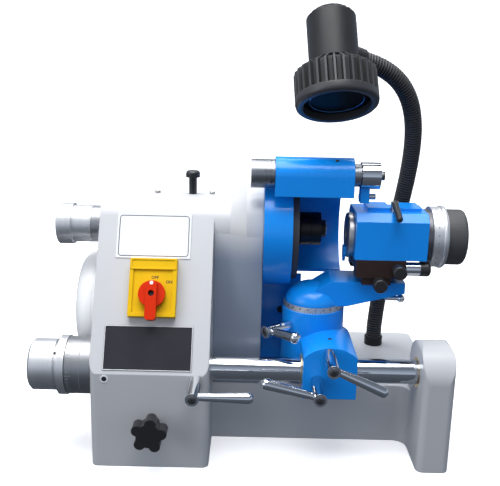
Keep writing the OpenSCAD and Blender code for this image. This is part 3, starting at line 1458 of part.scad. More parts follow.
module lamp_head() color(part_black) lamp_frame() difference() {
    rotate_extrude() polygon([[0, lamp_mouth_d], [lamp_head_r - lamp_rim, lamp_mouth_d],
        [lamp_head_r - lamp_rim, 0], [lamp_head_r, 0], [lamp_head_r, lamp_head_h - lamp_chamfer],
        [lamp_body_r, lamp_head_h], [0, lamp_head_h]]);
    for (i = [0 : lamp_slots - 1])
        rotate([0, 0, i * 360 / lamp_slots])
            translate([lamp_head_r - lamp_slot_d, -half * lamp_slot_d, lamp_mouth_d])
                cube([lamp_head_r, lamp_slot_d, lamp_slot_h]);
    on_neck_axis() cylinder(r = neck_socket_r + free_gap, h = socket_end + lamp_head_r);
}

module lamp_lens() color("white") lamp_frame() translate([0, 0, lamp_mouth_d - lens_t])
    cylinder(r = lamp_head_r - lamp_rim, h = lens_t);

module neck_foot() color(part_black) translate([neck_x, neck_y, bed_z]) difference() {
    rounded_disc(neck_foot_r, neck_foot_h, cut);
    translate([0, 0, neck_foot_h - neck_depth]) cylinder(r = neck_r + free_gap, h = neck_depth + cut);
}

module gooseneck() color(part_black) {
    outer = [for (i = [0 : neck_outer_rings])
        neck_ring(i / neck_outer_rings, i % 2 == 0 ? neck_r - neck_rib_d : neck_r)];
    bore = [for (i = [0 : neck_bore_rings]) neck_ring(i / neck_bore_rings, neck_bore_r)];
    points = [for (ring = concat(outer, bore), p = ring) p];
    bore_0 = len(outer) * neck_sides;
    last = neck_outer_rings * neck_sides;
    bore_last = bore_0 + neck_bore_rings * neck_sides;
    sides = [for (k = [0 : neck_sides - 1]) [k, (k + 1) % neck_sides]];
    faces = concat(
        [for (i = [0 : neck_outer_rings - 1], k = sides) let (a = i * neck_sides, b = a + neck_sides)
            [a + k[0], b + k[0], b + k[1], a + k[1]]],
        [for (i = [0 : neck_bore_rings - 1], k = sides) let (a = bore_0 + i * neck_sides, b = a + neck_sides)
            [a + k[0], a + k[1], b + k[1], b + k[0]]],
        [for (k = sides) [k[0], k[1], bore_0 + k[1], bore_0 + k[0]]],
        [for (k = sides) [last + k[1], last + k[0], bore_last + k[0], bore_last + k[1]]]);
    polyhedron(points = points, faces = faces, convexity = 6);
}

base_casting();
rear_cover();
screws();
label_plates();
switch_body();
switch_plate();
switch_knob();
bar_bushes();
end_cap();
oil_cups();
cable_gland();
wheel_guard();
feed_bush();
feed_dial();
quill();
spindle_bearings();
spindle();
spindle_pulley();
inner_flange();
grinding_wheel();
outer_flange();
wheel_nut();
motor_shell();
motor_bell();
stator();
rotor();
motor_pulley();
drive_belt();
lock_plunger();
dresser_shaft();
dresser_arm();
bar_collar();
bar_dial();
guide_bar();
carriage_bush();
carriage();
angle_ring();
swivel_arm();
slide_base();
cross_slide();
slide_screw();
work_head();
work_spindle();
index_drum();
work_knob();
index_pin();
stop_finger();
box_lever();
swing_lever();
slide_lever();
swivel_lock();
arm_lever();
star_knob();
slide_lock_knob();
base_lock_knob();
lamp_body();
lamp_head();
lamp_lens();
neck_foot();
gooseneck();
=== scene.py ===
"""Looks of a bench tool and cutter grinder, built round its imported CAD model.

Every CAD node gets a procedural finish. The gooseneck, the work knob and the lamp's head are rebuilt with
their ribs, knurl and grooves, and small fittings such as screws and scale marks ride on the bodies that
carry them.
"""

import math

import bmesh
import bpy
from bpy.props import FloatProperty, FloatVectorProperty, IntProperty, PointerProperty
from mathutils import Matrix, Vector


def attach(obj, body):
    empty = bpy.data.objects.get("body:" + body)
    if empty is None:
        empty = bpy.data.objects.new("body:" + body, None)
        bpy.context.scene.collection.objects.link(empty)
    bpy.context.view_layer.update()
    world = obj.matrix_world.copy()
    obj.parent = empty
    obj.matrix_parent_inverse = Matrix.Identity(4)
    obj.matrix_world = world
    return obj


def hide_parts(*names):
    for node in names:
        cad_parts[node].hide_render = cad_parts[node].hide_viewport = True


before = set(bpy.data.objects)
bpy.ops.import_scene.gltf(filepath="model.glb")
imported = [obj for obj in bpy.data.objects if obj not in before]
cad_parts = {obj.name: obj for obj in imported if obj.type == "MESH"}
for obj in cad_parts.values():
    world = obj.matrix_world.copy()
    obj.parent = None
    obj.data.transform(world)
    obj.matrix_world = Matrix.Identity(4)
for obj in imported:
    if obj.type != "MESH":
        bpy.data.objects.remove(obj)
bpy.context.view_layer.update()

bl_info = {
    "name": "Tool and Cutter Grinder",
    "version": (1, 0, 0),
    "blender": (4, 5, 0),
    "location": "3D View > Sidebar > Grinder",
    "description": "Dresses the packed model of a bench tool and cutter grinder",
    "category": "Object",
}

# Places and sizes below are in millimetres, in the frame of the CAD model
MM = 0.001
FULL_TURN = 2 * math.pi

# Main axes and faces of the machine
SPINDLE_AXIS = Vector((0, 0, 230))
BAR_AXIS = Vector((0, -76.5, 97))
WORK_AXIS = Vector((0, -26, 230))
SWIVEL_AXIS = Vector((46, -26, 0))
INDEX_PIN = Vector((124.5, -40, 0))
DRESSER_AXIS = Vector((0, -45, 296.5))
BOX_FRONT_Y = -110
CREASE_Z = 102
LEAN = math.radians(28.36)
PLATE_X = -124
SWITCH_X = -121.5

# Local frame of the lamp
LAMP_MOUTH = Vector((58, -60, 365))
LAMP_TILT = math.radians(28)
LAMP_LEAN = math.radians(4)

# Route of the gooseneck
NECK_FOOT = Vector((133, 78, 67.9))
NECK_LEAVES = Vector((0.93, 0.226, -0.29))
NECK_START_STRAIGHT = 19
NECK_PULL_LOW = Vector((7, 0, 150))
NECK_PULL_HIGH = 104
NECK_STEPS = 400


# Placing


def seat(at, out, across=(1, 0, 0)):
    """A matrix at a place in mm, its Z axis along out and its X axis as near to across as that allows."""
    z = Vector(out).normalized()
    x = Vector(across)
    x = (x - z * x.dot(z)).normalized()
    turn = Matrix((x, z.cross(x), z)).transposed().to_4x4()
    return Matrix.Translation(Vector(at) * MM) @ turn


def on_slope(x, up, out=0.0):
    """A place on the sloped front of the box: across, up the slope from its crease, and out of it."""
    y = BOX_FRONT_Y + up * math.sin(LEAN) - out * math.cos(LEAN)
    z = CREASE_Z + up * math.cos(LEAN) + out * math.sin(LEAN)
    return Vector((x, y, z))


SLOPE_OUT = Vector((0, -math.cos(LEAN), math.sin(LEAN)))


def in_lamp():
    """The lamp's own frame: its mouth at the origin and its axis along Z."""
    tip = Matrix.Rotation(-LAMP_TILT, 4, "X")
    lean = Matrix.Rotation(-LAMP_LEAN, 4, "Y")
    return Matrix.Translation(LAMP_MOUTH * MM) @ lean @ tip


# Mesh making


def ring_of(bm, place, radius, height, segments, ripple):
    """One ring of vertices, or a single one on the axis."""
    if radius < MM:
        return [bm.verts.new(place @ Vector((0, 0, height * MM)))]
    ring = []
    for step in range(segments):
        angle = FULL_TURN * step / segments
        r = (radius + (ripple(angle, height) if ripple else 0.0)) * MM
        ring.append(bm.verts.new(place @ Vector((r * math.cos(angle), r * math.sin(angle), height * MM))))
    return ring


def join_rings(bm, low, high):
    """Faces between two rings, either of which may be a point."""
    if len(low) == len(high) == 1:
        return
    count = max(len(low), len(high))
    for i in range(count):
        j = (i + 1) % count
        corners = [low[i % len(low)], low[j % len(low)], high[j % len(high)], high[i % len(high)]]
        bm.faces.new(list(dict.fromkeys(corners)))


def add_turned(bm, profile, place, segments=48, closed=False, ripple=None):
    """Turns a profile of (radius, height) pairs about the Z axis of place."""
    rings = [ring_of(bm, place, radius, height, segments, ripple) for radius, height in profile]
    for low, high in zip(rings, rings[1:]):
        join_rings(bm, low, high)
    if closed:
        join_rings(bm, rings[-1], rings[0])


def add_slab(bm, outline, low, high, place, chamfer=0.0):
    """Raises an outline of (x, y) pairs from low to high, with its upper rim drawn in by chamfer."""
    middle = Vector((sum(x for x, _ in outline), sum(y for _, y in outline))) / len(outline)
    layers = [(low, 0.0), (high - chamfer, 0.0)]
    if chamfer:
        layers.append((high, chamfer))
    rings = []
    for height, inset in layers:
        ring = []
        for x, y in outline:
            away = Vector((x, y)) - middle
            away *= 1 - inset / away.length
            ring.append(bm.verts.new(place @ Vector((*((middle + away) * MM), height * MM))))
        rings.append(ring)
    for lower, upper in zip(rings, rings[1:]):
        join_rings(bm, lower, upper)
    bm.faces.new(rings[-1])
    bm.faces.new(list(reversed(rings[0])))


def add_band(bm, outer, inner, low, high, place):
    """A flat frame between two outlines with the same number of points."""
    rings = []
    for outline, height in ((inner, low), (outer, low), (outer, high), (inner, high)):
        rings.append([bm.verts.new(place @ Vector((x * MM, y * MM, height * MM))) for x, y in outline])
    for lower, upper in zip(rings, rings[1:] + rings[:1]):
        join_rings(bm, lower, upper)


def add_lettering(bm, words, place, height, raised):
    """Raised letters or figures, centred on place."""
    curve = bpy.data.curves.new("lettering", "FONT")
    curve.body = words
    curve.align_x = "CENTER"
    curve.align_y = "CENTER"
    curve.size = height * MM
    curve.extrude = raised * MM
    curve.offset = 0.02 * height * MM
    curve.resolution_u = 3
    holder = bpy.data.objects.new("lettering", curve)
    mesh = bpy.data.meshes.new_from_object(holder)
    mesh.transform(place)
    bm.from_mesh(mesh)
    bpy.data.objects.remove(holder)
    bpy.data.curves.remove(curve)
    bpy.data.meshes.remove(mesh)


def rounded_outline(width, height, radius, steps=6):
    """Corner points of a rounded rectangle about the origin."""
    points = []
    for quarter in range(4):
        cx = (width / 2 - radius) * (1 if quarter in (0, 3) else -1)
        cy = (height / 2 - radius) * (1 if quarter in (0, 1) else -1)
        for step in range(steps + 1):
            angle = math.pi / 2 * (quarter + step / steps)
            points.append((cx + radius * math.cos(angle), cy + radius * math.sin(angle)))
    return points


def make_piece(name, bm, material, body, smooth_deg=40):
    """Turns a bmesh into a piece that rides on a body and takes one finish."""
    bmesh.ops.recalc_face_normals(bm, faces=bm.faces)
    mesh = bpy.data.meshes.new(name)
    bm.to_mesh(mesh)
    bm.free()
    mesh.materials.append(material)
    mesh.shade_smooth()
    mesh.set_sharp_from_angle(angle=math.radians(smooth_deg))
    piece = bpy.data.objects.new(name, mesh)
    bpy.context.scene.collection.objects.link(piece)
    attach(piece, body)
    return piece


# Shared surface effects, each a node group built once


def new_group(name, inputs, outputs):
    """An empty shader group with its sockets, and its two end nodes."""
    group = bpy.data.node_groups.new(name, "ShaderNodeTree")
    for label, kind, default in inputs:
        socket = group.interface.new_socket(label, in_out="INPUT", socket_type="NodeSocket" + kind)
        socket.default_value = default
    for label, kind in outputs:
        group.interface.new_socket(label, in_out="OUTPUT", socket_type="NodeSocket" + kind)
    return group, group.nodes.new("NodeGroupInput").outputs, group.nodes.new("NodeGroupOutput").inputs


def put_out(group, result, **sockets):
    """Links a group's results to its outputs and gives the group back."""
    for name, socket in sockets.items():
        group.links.new(socket, result[name])
    return group


def add_node(tree, kind, links=(), **values):
    """A node with its sockets set or linked; a value goes to the socket of that name."""
    node = tree.nodes.new(kind)
    for name, value in values.items():
        setattr(node, name, value)
    for key, source in dict(links).items():
        if isinstance(source, bpy.types.NodeSocket):
            tree.links.new(source, node.inputs[key])
        else:
            node.inputs[key].default_value = source
    return node


def surface_place(tree):
    """The place on the surface that textures follow."""
    return add_node(tree, "ShaderNodeTexCoord").outputs["Object"]


def arithmetic(tree, operation, *values, clamp=False):
    """The result of a sum whose values are numbers or sockets."""
    links = dict(enumerate(values))
    return add_node(tree, "ShaderNodeMath", links, operation=operation, use_clamp=clamp).outputs[0]


def noise(tree, where, scale, detail=2.0):
    """The value of a noise texture."""
    return add_node(tree, "ShaderNodeTexNoise", {"Vector": where, "Scale": scale, "Detail": detail}).outputs["Fac"]


def levelled(tree, colour, level):
    """A colour made lighter or darker by a level."""
    return add_node(tree, "ShaderNodeVectorMath", {0: colour, "Scale": level}, operation="SCALE").outputs[0]


def blended(tree, share, first, second):
    """Two colours mixed by a share."""
    return add_node(tree, "ShaderNodeMix", {0: share, 6: first, 7: second}, data_type="RGBA").outputs[2]


SKIN_OUTPUTS = [("Color", "Color"), ("Roughness", "Float"), ("Height", "Float")]


def soft_edges_group():
    """Rounded shading at sharp edges, and a mask of where the edges are."""
    group, given, result = new_group(
        "soft_edges", [("Radius", "Float", 0.5 * MM), ("Sharpness", "Float", 9.0)],
        [("Normal", "Vector"), ("Edge", "Float")])
    bevel = add_node(group, "ShaderNodeBevel", {"Radius": given["Radius"]}, samples=4).outputs["Normal"]
    face = add_node(group, "ShaderNodeNewGeometry").outputs["Normal"]
    along = add_node(group, "ShaderNodeVectorMath", {0: bevel, 1: face}, operation="DOT_PRODUCT").outputs["Value"]
    away = arithmetic(group, "SUBTRACT", 1.0, along)
    mask = arithmetic(group, "MULTIPLY", away, given["Sharpness"], clamp=True)
    return put_out(group, result, Normal=bevel, Edge=mask)


def paint_skin_group():
    """Sprayed enamel: clouded colour, orange peel, and a second colour along edges: wear on most paints, a painted edge
    highlight on the blue.
    """
    group, given, result = new_group(
        "paint_skin",
        [("Color", "Color", (0.8, 0.8, 0.8, 1)), ("Worn Color", "Color", (0.5, 0.5, 0.5, 1)),
         ("Edge", "Float", 0.0), ("Wear", "Float", 0.3), ("Clouding", "Float", 0.08),
         ("Roughness", "Float", 0.35), ("Peel", "Float", 420.0)],
        SKIN_OUTPUTS)
    where = surface_place(group)
    clouds = noise(group, where, 11.0, 4.0)
    specks = noise(group, where, 160.0, 3.0)
    peel = noise(group, where, given["Peel"], 1.0)
    change = arithmetic(group, "MULTIPLY", arithmetic(group, "SUBTRACT", clouds, 0.5), given["Clouding"])
    tinted = levelled(group, given["Color"], arithmetic(group, "ADD", change, 1.0))
    # Edges take the second colour: wear, and on the blue a painted highlight.
    broken = add_node(group, "ShaderNodeMapRange", {"Value": specks, "From Min": 0.45, "From Max": 0.62}).outputs[0]
    wear_and_highlight = arithmetic(group, "MULTIPLY", given["Edge"], broken)
    wear_and_highlight = arithmetic(group, "MULTIPLY", wear_and_highlight, given["Wear"], clamp=True)
    gloss = arithmetic(group, "MULTIPLY_ADD", clouds, 0.16, given["Roughness"])
    gloss = arithmetic(group, "SUBTRACT", gloss, 0.08, clamp=True)
    return put_out(group, result, Color=blended(group, wear_and_highlight, tinted, given["Worn Color"]), Roughness=gloss,
                   Height=peel)


def turned_lines_group():
    """Fine tool marks: noise drawn out across the stretch vector's small axes."""
    group, given, result = new_group(
        "turned_lines",
        [("Color", "Color", (0.7, 0.7, 0.7, 1)), ("Stretch", "Vector", (1.0, 0.02, 0.02)),
         ("Lines", "Float", 900.0), ("Contrast", "Float", 0.2), ("Roughness", "Float", 0.3),
         ("Edge", "Float", 0.0)],
        SKIN_OUTPUTS)
    where = surface_place(group)
    drawn = add_node(group, "ShaderNodeVectorMath", {0: where, 1: given["Stretch"]}, operation="MULTIPLY").outputs[0]
    lines = noise(group, drawn, given["Lines"])
    smear = noise(group, where, 35.0, 3.0)
    centred = arithmetic(group, "SUBTRACT", arithmetic(group, "ADD", lines, smear), 1.0)
    swing = arithmetic(group, "MULTIPLY", centred, given["Contrast"])
    bright = arithmetic(group, "MULTIPLY_ADD", given["Edge"], 0.12, 1.0)
    tinted = levelled(group, given["Color"], arithmetic(group, "ADD", swing, bright))
    gloss = arithmetic(group, "ADD", swing, given["Roughness"], clamp=True)
    return put_out(group, result, Color=tinted, Roughness=gloss, Height=lines)


def moulded_grain_group():
    """Moulded plastic: a fine spark-eroded grain, and colour lightened at the edges, partly rub wear and partly painted
    sheen.
    """
    group, given, result = new_group(
        "moulded_grain",
        [("Color", "Color", (0.05, 0.05, 0.05, 1)), ("Edge", "Float", 0.0), ("Grain", "Float", 900.0),
         ("Roughness", "Float", 0.45), ("Rub", "Float", 0.25)],
        SKIN_OUTPUTS)
    where = surface_place(group)
    grain = add_node(group, "ShaderNodeTexVoronoi", {"Vector": where, "Scale": given["Grain"]}).outputs["Distance"]
    hands = noise(group, where, 40.0, 4.0)
    # Edges lighter in colour: rub wear and painted sheen.
    rub_and_sheen_lift = arithmetic(group, "MULTIPLY_ADD", given["Edge"], given["Rub"], 0.9)
    tinted = levelled(group, given["Color"], arithmetic(group, "MULTIPLY_ADD", hands, 0.2, rub_and_sheen_lift))
    rubbed = arithmetic(group, "MULTIPLY_ADD", hands, 0.2, given["Roughness"])
    gloss = arithmetic(group, "SUBTRACT", rubbed, 0.1, clamp=True)
    return put_out(group, result, Color=tinted, Roughness=gloss, Height=grain)


EFFECTS = {}


def effect(name):
    """A shared effect's node group, made at its first use."""
    makers = {"soft_edges": soft_edges_group, "paint_skin": paint_skin_group,
              "turned_lines": turned_lines_group, "moulded_grain": moulded_grain_group}
    if name not in EFFECTS:
        EFFECTS[name] = makers[name]()
    return EFFECTS[name]


# Finishes


def start_material(name, edge_radius):
    """A material with its Principled shader and the soft edges that every finish has."""
    material = bpy.data.materials.new(name)
    material.use_nodes = True
    tree = material.node_tree
    shader = tree.nodes["Principled BSDF"]
    edges = add_node(tree, "ShaderNodeGroup", node_tree=effect("soft_edges"))
    edges.inputs["Radius"].default_value = edge_radius * MM
    return material, tree, shader, edges


# Depth of the relief that a strength of one gives
RELIEF_DEPTH = 0.1 * MM
PAINT_RELIEF = 0.12


def add_relief(tree, shader, edges, height, strength):
    """Lays a fine relief over the soft edges."""
    bump = add_node(tree, "ShaderNodeBump", {"Height": height, "Normal": edges.outputs["Normal"],
                                             "Strength": strength, "Distance": RELIEF_DEPTH})
    tree.links.new(bump.outputs["Normal"], shader.inputs["Normal"])


def use_effect(tree, shader, edges, name, relief, values):
    """Places a shared effect in a material and feeds the shader from it."""
    skin = add_node(tree, "ShaderNodeGroup", values, node_tree=effect(name))
    tree.links.new(edges.outputs["Edge"], skin.inputs["Edge"])
    add_relief(tree, shader, edges, skin.outputs["Height"], relief)
    tree.links.new(skin.outputs["Color"], shader.inputs["Base Color"])
    tree.links.new(skin.outputs["Roughness"], shader.inputs["Roughness"])
    return skin


def enamel(name, colour, roughness, wear_and_highlight, coat=0.0, edge=1.2, wear_and_highlight_amount=0.35, clouding=0.05, specular=0.5):
    """Sprayed paint on metal."""
    material, tree, shader, edges = start_material(name, edge)
    skin = use_effect(tree, shader, edges, "paint_skin", PAINT_RELIEF, {
        "Color": (*colour, 1), "Worn Color": (*wear_and_highlight, 1), "Roughness": roughness, "Wear": wear_and_highlight_amount, "Clouding": clouding})
    skin.name = "paint_skin"
    shader.inputs["Coat Weight"].default_value = coat
    shader.inputs["Coat Roughness"].default_value = 0.2
    shader.inputs["Specular IOR Level"].default_value = specular
    return material


def shaded_enamel(name, colour, roughness, low, high):
    """Casting paint with painted shade: darker downwards between two heights in mm, standing in for the shade on the
    recessed column.
    """
    foot = bpy.context.scene.grinder.colours.column
    material = enamel(name, colour, roughness, colour, edge=1.6, clouding=0.2)
    tree = material.node_tree
    height = add_node(tree, "ShaderNodeSeparateXYZ", {0: surface_place(tree)}).outputs["Z"]
    share = add_node(tree, "ShaderNodeMapRange", {"Value": height, "From Min": low * MM, "From Max": high * MM},
                     interpolation_type="SMOOTHSTEP").outputs[0]
    mixed = blended(tree, share, (*foot, 1), (*colour, 1))
    tree.links.new(mixed, tree.nodes["paint_skin"].inputs["Color"])
    return material


def worked_metal(name, colour, roughness, lines=900.0, contrast=0.16, edge=0.4, relief=0.15):
    """Turned, ground or plated metal."""
    material, tree, shader, edges = start_material(name, edge)
    use_effect(tree, shader, edges, "turned_lines", relief, {
        "Color": (*colour, 1), "Lines": lines, "Contrast": contrast, "Roughness": roughness})
    shader.inputs["Metallic"].default_value = 1.0
    return material


def moulding(name, colour, roughness, grain=900.0, edge=0.6, relief=0.2, rub_and_sheen=0.25, specular=0.5):
    """Moulded plastic or rubber."""
    material, tree, shader, edges = start_material(name, edge)
    use_effect(tree, shader, edges, "moulded_grain", relief, {
        "Color": (*colour, 1), "Grain": grain, "Roughness": roughness, "Rub": rub_and_sheen})
    shader.inputs["Specular IOR Level"].default_value = specular
    return material


def lamp_glass(name, colour, roughness):
    """The lamp's dark front glass."""
    material, tree, shader, edges = start_material(name, 0.4)
    add_relief(tree, shader, edges, noise(tree, surface_place(tree), 90.0), 0.05)
    shader.inputs["Base Color"].default_value = (*colour, 1)
    shader.inputs["Roughness"].default_value = roughness
    shader.inputs["Specular IOR Level"].default_value = 0.03
    return material


# Maker of each finish, its colour or the panel's name for it, its roughness and what else it takes
FINISHES = {
    "casting_enamel": (enamel, "casting", 0.33, {"wear_and_highlight": (0.52, 0.53, 0.55), "edge": 1.6}),
    # The column's finish has painted shade: its colour darkens towards the foot, where the recess is in shade.
    "column_enamel": (shaded_enamel, "casting", 0.33, {"low": 198, "high": 240}),
    "motor_enamel": (enamel, "motor", 0.38, {"wear_and_highlight": (0.55, 0.55, 0.55)}),
    # The blue's edge colour is the lighter blue of its lit faces: a painted edge highlight.
    "blue_enamel": (enamel, "blue", 0.26, {"wear_and_highlight": (0.04, 0.40, 0.85), "coat": 0.22, "edge": 1.0, "wear_and_highlight_amount": 0.5,
                                           "clouding": 0.16, "specular": 0.3}),
    "dial_aluminium": (worked_metal, "dial", 0.46, {"contrast": 0.12, "relief": 0.25}),
    "collar_aluminium": (worked_metal, "collar", 0.42, {"contrast": 0.14, "relief": 0.25}),
    "ground_steel": (worked_metal, "steel", 0.36, {"contrast": 0.3}),
    "grey_steel": (worked_metal, (0.28, 0.29, 0.31), 0.35, {"contrast": 0.3}),
    "dark_steel": (worked_metal, (0.16, 0.16, 0.17), 0.38, {"contrast": 0.3}),
    "chrome_plate": (worked_metal, "chrome", 0.07, {"lines": 300.0, "contrast": 0.05, "edge": 0.5, "relief": 0.03}),
    "bronze": (worked_metal, (0.62, 0.42, 0.20), 0.35, {}),
    "black_oxide": (worked_metal, (0.035, 0.034, 0.036), 0.42, {"contrast": 0.2}),
    "brown_oxide": (enamel, "slide", 0.40, {"wear_and_highlight": (0.12, 0.09, 0.08), "edge": 0.5, "wear_and_highlight_amount": 0.6, "clouding": 0.5,
                                            "specular": 0.3}),
    "grip_moulding": (moulding, (0.055, 0.055, 0.058), 0.5, {"grain": 700.0}),
    "black_moulding": (moulding, "black", 0.34, {"grain": 700.0}),
    "lamp_moulding": (moulding, "lamp", 0.40, {"grain": 600.0, "relief": 0.3, "rub_and_sheen": 0.5}),
    "lamp_shell": (moulding, (0.012, 0.012, 0.014), 0.46, {"grain": 600.0, "relief": 0.3, "specular": 0.35}),
    # The hose's strong edge lift is painted sheen on its rib crests.
    "hose_moulding": (moulding, "hose", 0.42, {"edge": 0.2, "rub_and_sheen": 0.8}),
    # Near black painted shade for grooves, vent openings and hollows.
    "vent_black": (moulding, (0.008, 0.008, 0.009), 0.7, {}),
    "yellow_moulding": (moulding, "yellow", 0.42, {"edge": 0.7, "rub_and_sheen": 0.1, "relief": 0.08, "specular": 0.15}),
    "red_moulding": (moulding, "red", 0.34, {"edge": 0.7, "rub_and_sheen": 0.1, "relief": 0.08, "specular": 0.15}),
    "belt_rubber": (moulding, (0.03, 0.03, 0.03), 0.7, {"grain": 1500.0}),
    "white_print": (moulding, (0.74, 0.75, 0.78), 0.32, {"edge": 0.2, "relief": 0.04, "rub_and_sheen": 0.02}),
    "dark_print": (moulding, (0.016, 0.016, 0.022), 0.36, {"edge": 0.2, "relief": 0.04, "rub_and_sheen": 0.1}),
    "ink": (moulding, (0.05, 0.055, 0.07), 0.5, {"relief": 0.02}),
    "faint_ink": (moulding, (0.26, 0.27, 0.29), 0.5, {"relief": 0.02}),
    "white_ink": (moulding, (0.88, 0.88, 0.88), 0.4, {"relief": 0.02, "rub_and_sheen": 0.02}),
    "abrasive": (moulding, (0.045, 0.045, 0.05), 0.85, {"grain": 1400.0, "relief": 1.0, "edge": 0.3}),
    "hole_shade": (moulding, (0.012, 0.012, 0.013), 0.6, {}),
    "lamp_glass": (lamp_glass, (0.004, 0.0045, 0.006), 0.3, {}),
    "lens_rim": (worked_metal, (0.10, 0.16, 0.24), 0.22, {"lines": 300.0, "contrast": 0.1}),
}


def finish(name):
    """A finish by name, made at its first use."""
    ready = bpy.data.materials.get(name)
    if ready:
        return ready
    maker, colour, roughness, more = FINISHES[name]
    if isinstance(colour, str):
        colour = getattr(bpy.context.scene.grinder.colours, colour)
    return maker(name, colour, roughness, **more)


NODE_FINISHES = {
    "casting_enamel": ("base_casting", "rear_cover"),
    "motor_enamel": ("motor_shell", "motor_bell"),
    "blue_enamel": ("wheel_guard", "dresser_arm", "carriage", "swivel_arm", "work_head", "stop_finger"),
    "dial_aluminium": ("feed_dial", "bar_dial", "angle_ring", "index_drum"),
    "collar_aluminium": ("feed_bush", "bar_collar"),
    "ground_steel": ("oil_cups", "quill", "spindle_bearings", "spindle", "spindle_pulley", "inner_flange", "stator",
                     "rotor", "motor_pulley", "work_spindle"),
    "grey_steel": ("dresser_shaft",),
    "chrome_plate": ("guide_bar", "slide_screw", "box_lever", "swing_lever", "slide_lever", "swivel_lock", "arm_lever"),
    "black_moulding": ("end_cap", "cable_gland", "lock_plunger", "index_pin", "star_knob",
                       "slide_lock_knob", "base_lock_knob"),
    "grip_moulding": ("work_knob",),
    "lamp_moulding": ("lamp_head",),
    "lamp_shell": ("lamp_body",),
    "black_oxide": ("screws", "outer_flange", "wheel_nut", "neck_foot"),
    "brown_oxide": ("slide_base", "cross_slide"),
    "bronze": ("bar_bushes", "carriage_bush"),
    "yellow_moulding": ("switch_plate", "switch_body"),
    "red_moulding": ("switch_knob",),
    "white_print": ("label_plates",),
    "abrasive": ("grinding_wheel",),
    "belt_rubber": ("drive_belt",),
    "lamp_glass": ("lamp_lens",),
}


def coat_node(node, name):
    """Gives a CAD node one finish all over."""
    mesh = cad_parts[node].data
    mesh.materials.clear()
    mesh.materials.append(finish(name))


def coat_faces(node, name, chosen):
    """Gives those faces of a CAD node whose middle, in mm, is chosen a second finish."""
    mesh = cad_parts[node].data
    mesh.materials.append(finish(name))
    extra = len(mesh.materials) - 1
    hits = 0
    for face in mesh.polygons:
        if chosen(face.center / MM):
            face.material_index = extra
            hits += 1
    if not hits:
        raise RuntimeError(f"no face of {node} takes the finish {name}")


# Settings


def colour_setting(name, description, default):
    """A linear colour that a user can change."""
    return FloatVectorProperty(name=name, description=description, subtype="COLOR", default=default, min=0, max=1)


def length_setting(name, description, default, low, high):
    """A length that a user can change, given in millimetres."""
    return FloatProperty(name=name, description=description, unit="LENGTH", default=default * MM, min=low * MM,
                         max=high * MM)


class GrinderColours(bpy.types.PropertyGroup):
    """Colours of the finishes, linear."""

    casting: colour_setting("Casting", "Grey enamel of the casting", (0.52, 0.525, 0.54))
    # The column colour is painted shade, not a duller paint: the casting darkened on the column's foot, where shade
    # falls between box and guard.
    column: colour_setting("Column", "Duller foot of the casting's column", (0.19, 0.225, 0.29))
    motor: colour_setting("Motor", "Pale enamel of the motor", (0.85, 0.85, 0.85))
    blue: colour_setting("Blue", "Blue enamel of guard and work head", (0.004, 0.265, 0.84))
    dial: colour_setting("Dials", "Turned aluminium of the dials", (0.68, 0.685, 0.70))
    collar: colour_setting("Collars", "Duller aluminium of the collars", (0.34, 0.345, 0.36))
    steel: colour_setting("Steel", "Ground steel", (0.48, 0.47, 0.45))
    chrome: colour_setting("Chrome", "Plated bar and levers", (0.60, 0.62, 0.65))
    slide: colour_setting("Slide", "Browned cross slide", (0.030, 0.016, 0.013))
    black: colour_setting("Knobs", "Black knobs", (0.016, 0.016, 0.018))
    lamp: colour_setting("Lamp", "Black lamp head", (0.036, 0.035, 0.040))
    hose: colour_setting("Hose", "Black ribbed gooseneck", (0.045, 0.045, 0.048))
    yellow: colour_setting("Switch Plate", "Yellow switch plate", (0.69, 0.42, 0.003))
    red: colour_setting("Switch Knob", "Red switch knob", (0.58, 0.024, 0.002))


class GrinderFittings(bpy.types.PropertyGroup):
    """Sizes of the small fittings, in metres."""

    print_depth: length_setting("Print", "How far printed marks stand proud", 0.12, 0.02, 0.5)
    mark_width: length_setting("Marks", "Width of a scale mark", 0.4, 0.1, 1.0)
    hose_ribs: IntProperty(name="Hose Ribs", description="Ribs along the gooseneck", default=130, min=90, max=180)
    hose_radius: length_setting("Hose Radius", "Radius over the ribs", 9.5, 8.5, 9.6)
    rib_depth: length_setting("Rib Depth", "Depth between two ribs", 1.5, 0.5, 1.6)
    knurl_ridges: IntProperty(name="Knurl", description="Ridges round the work knob", default=120, min=60, max=160)


class GrinderStage(bpy.types.PropertyGroup):
    """Light and floor of the studio."""

    floor: colour_setting("Floor", "Colour of floor and backdrop", (0.88, 0.88, 0.89))
    key_power: FloatProperty(name="Key", description="Power of the soft box overhead, in watts",
                             default=33.0, min=0, max=200)
    fill_power: FloatProperty(name="Fill", description="Power of the soft box at the left, in watts",
                              default=6.0, min=0, max=100)
    back_power: FloatProperty(name="Backdrop", description="Power of the backdrop's light, in watts",
                              default=26.0, min=0, max=200)
    glow: FloatProperty(name="Glow", description="Glow of the floor, which lightens the shadows",
                        default=0.45, min=0, max=2)
    sky: FloatProperty(name="Sky", description="Strength of the even light all round", default=0.75, min=0, max=4)


class GrinderSettings(bpy.types.PropertyGroup):
    """All settings of the grinder."""

    colours: PointerProperty(type=GrinderColours)
    fittings: PointerProperty(type=GrinderFittings)
    stage: PointerProperty(type=GrinderStage)


# Finishes of the CAD nodes


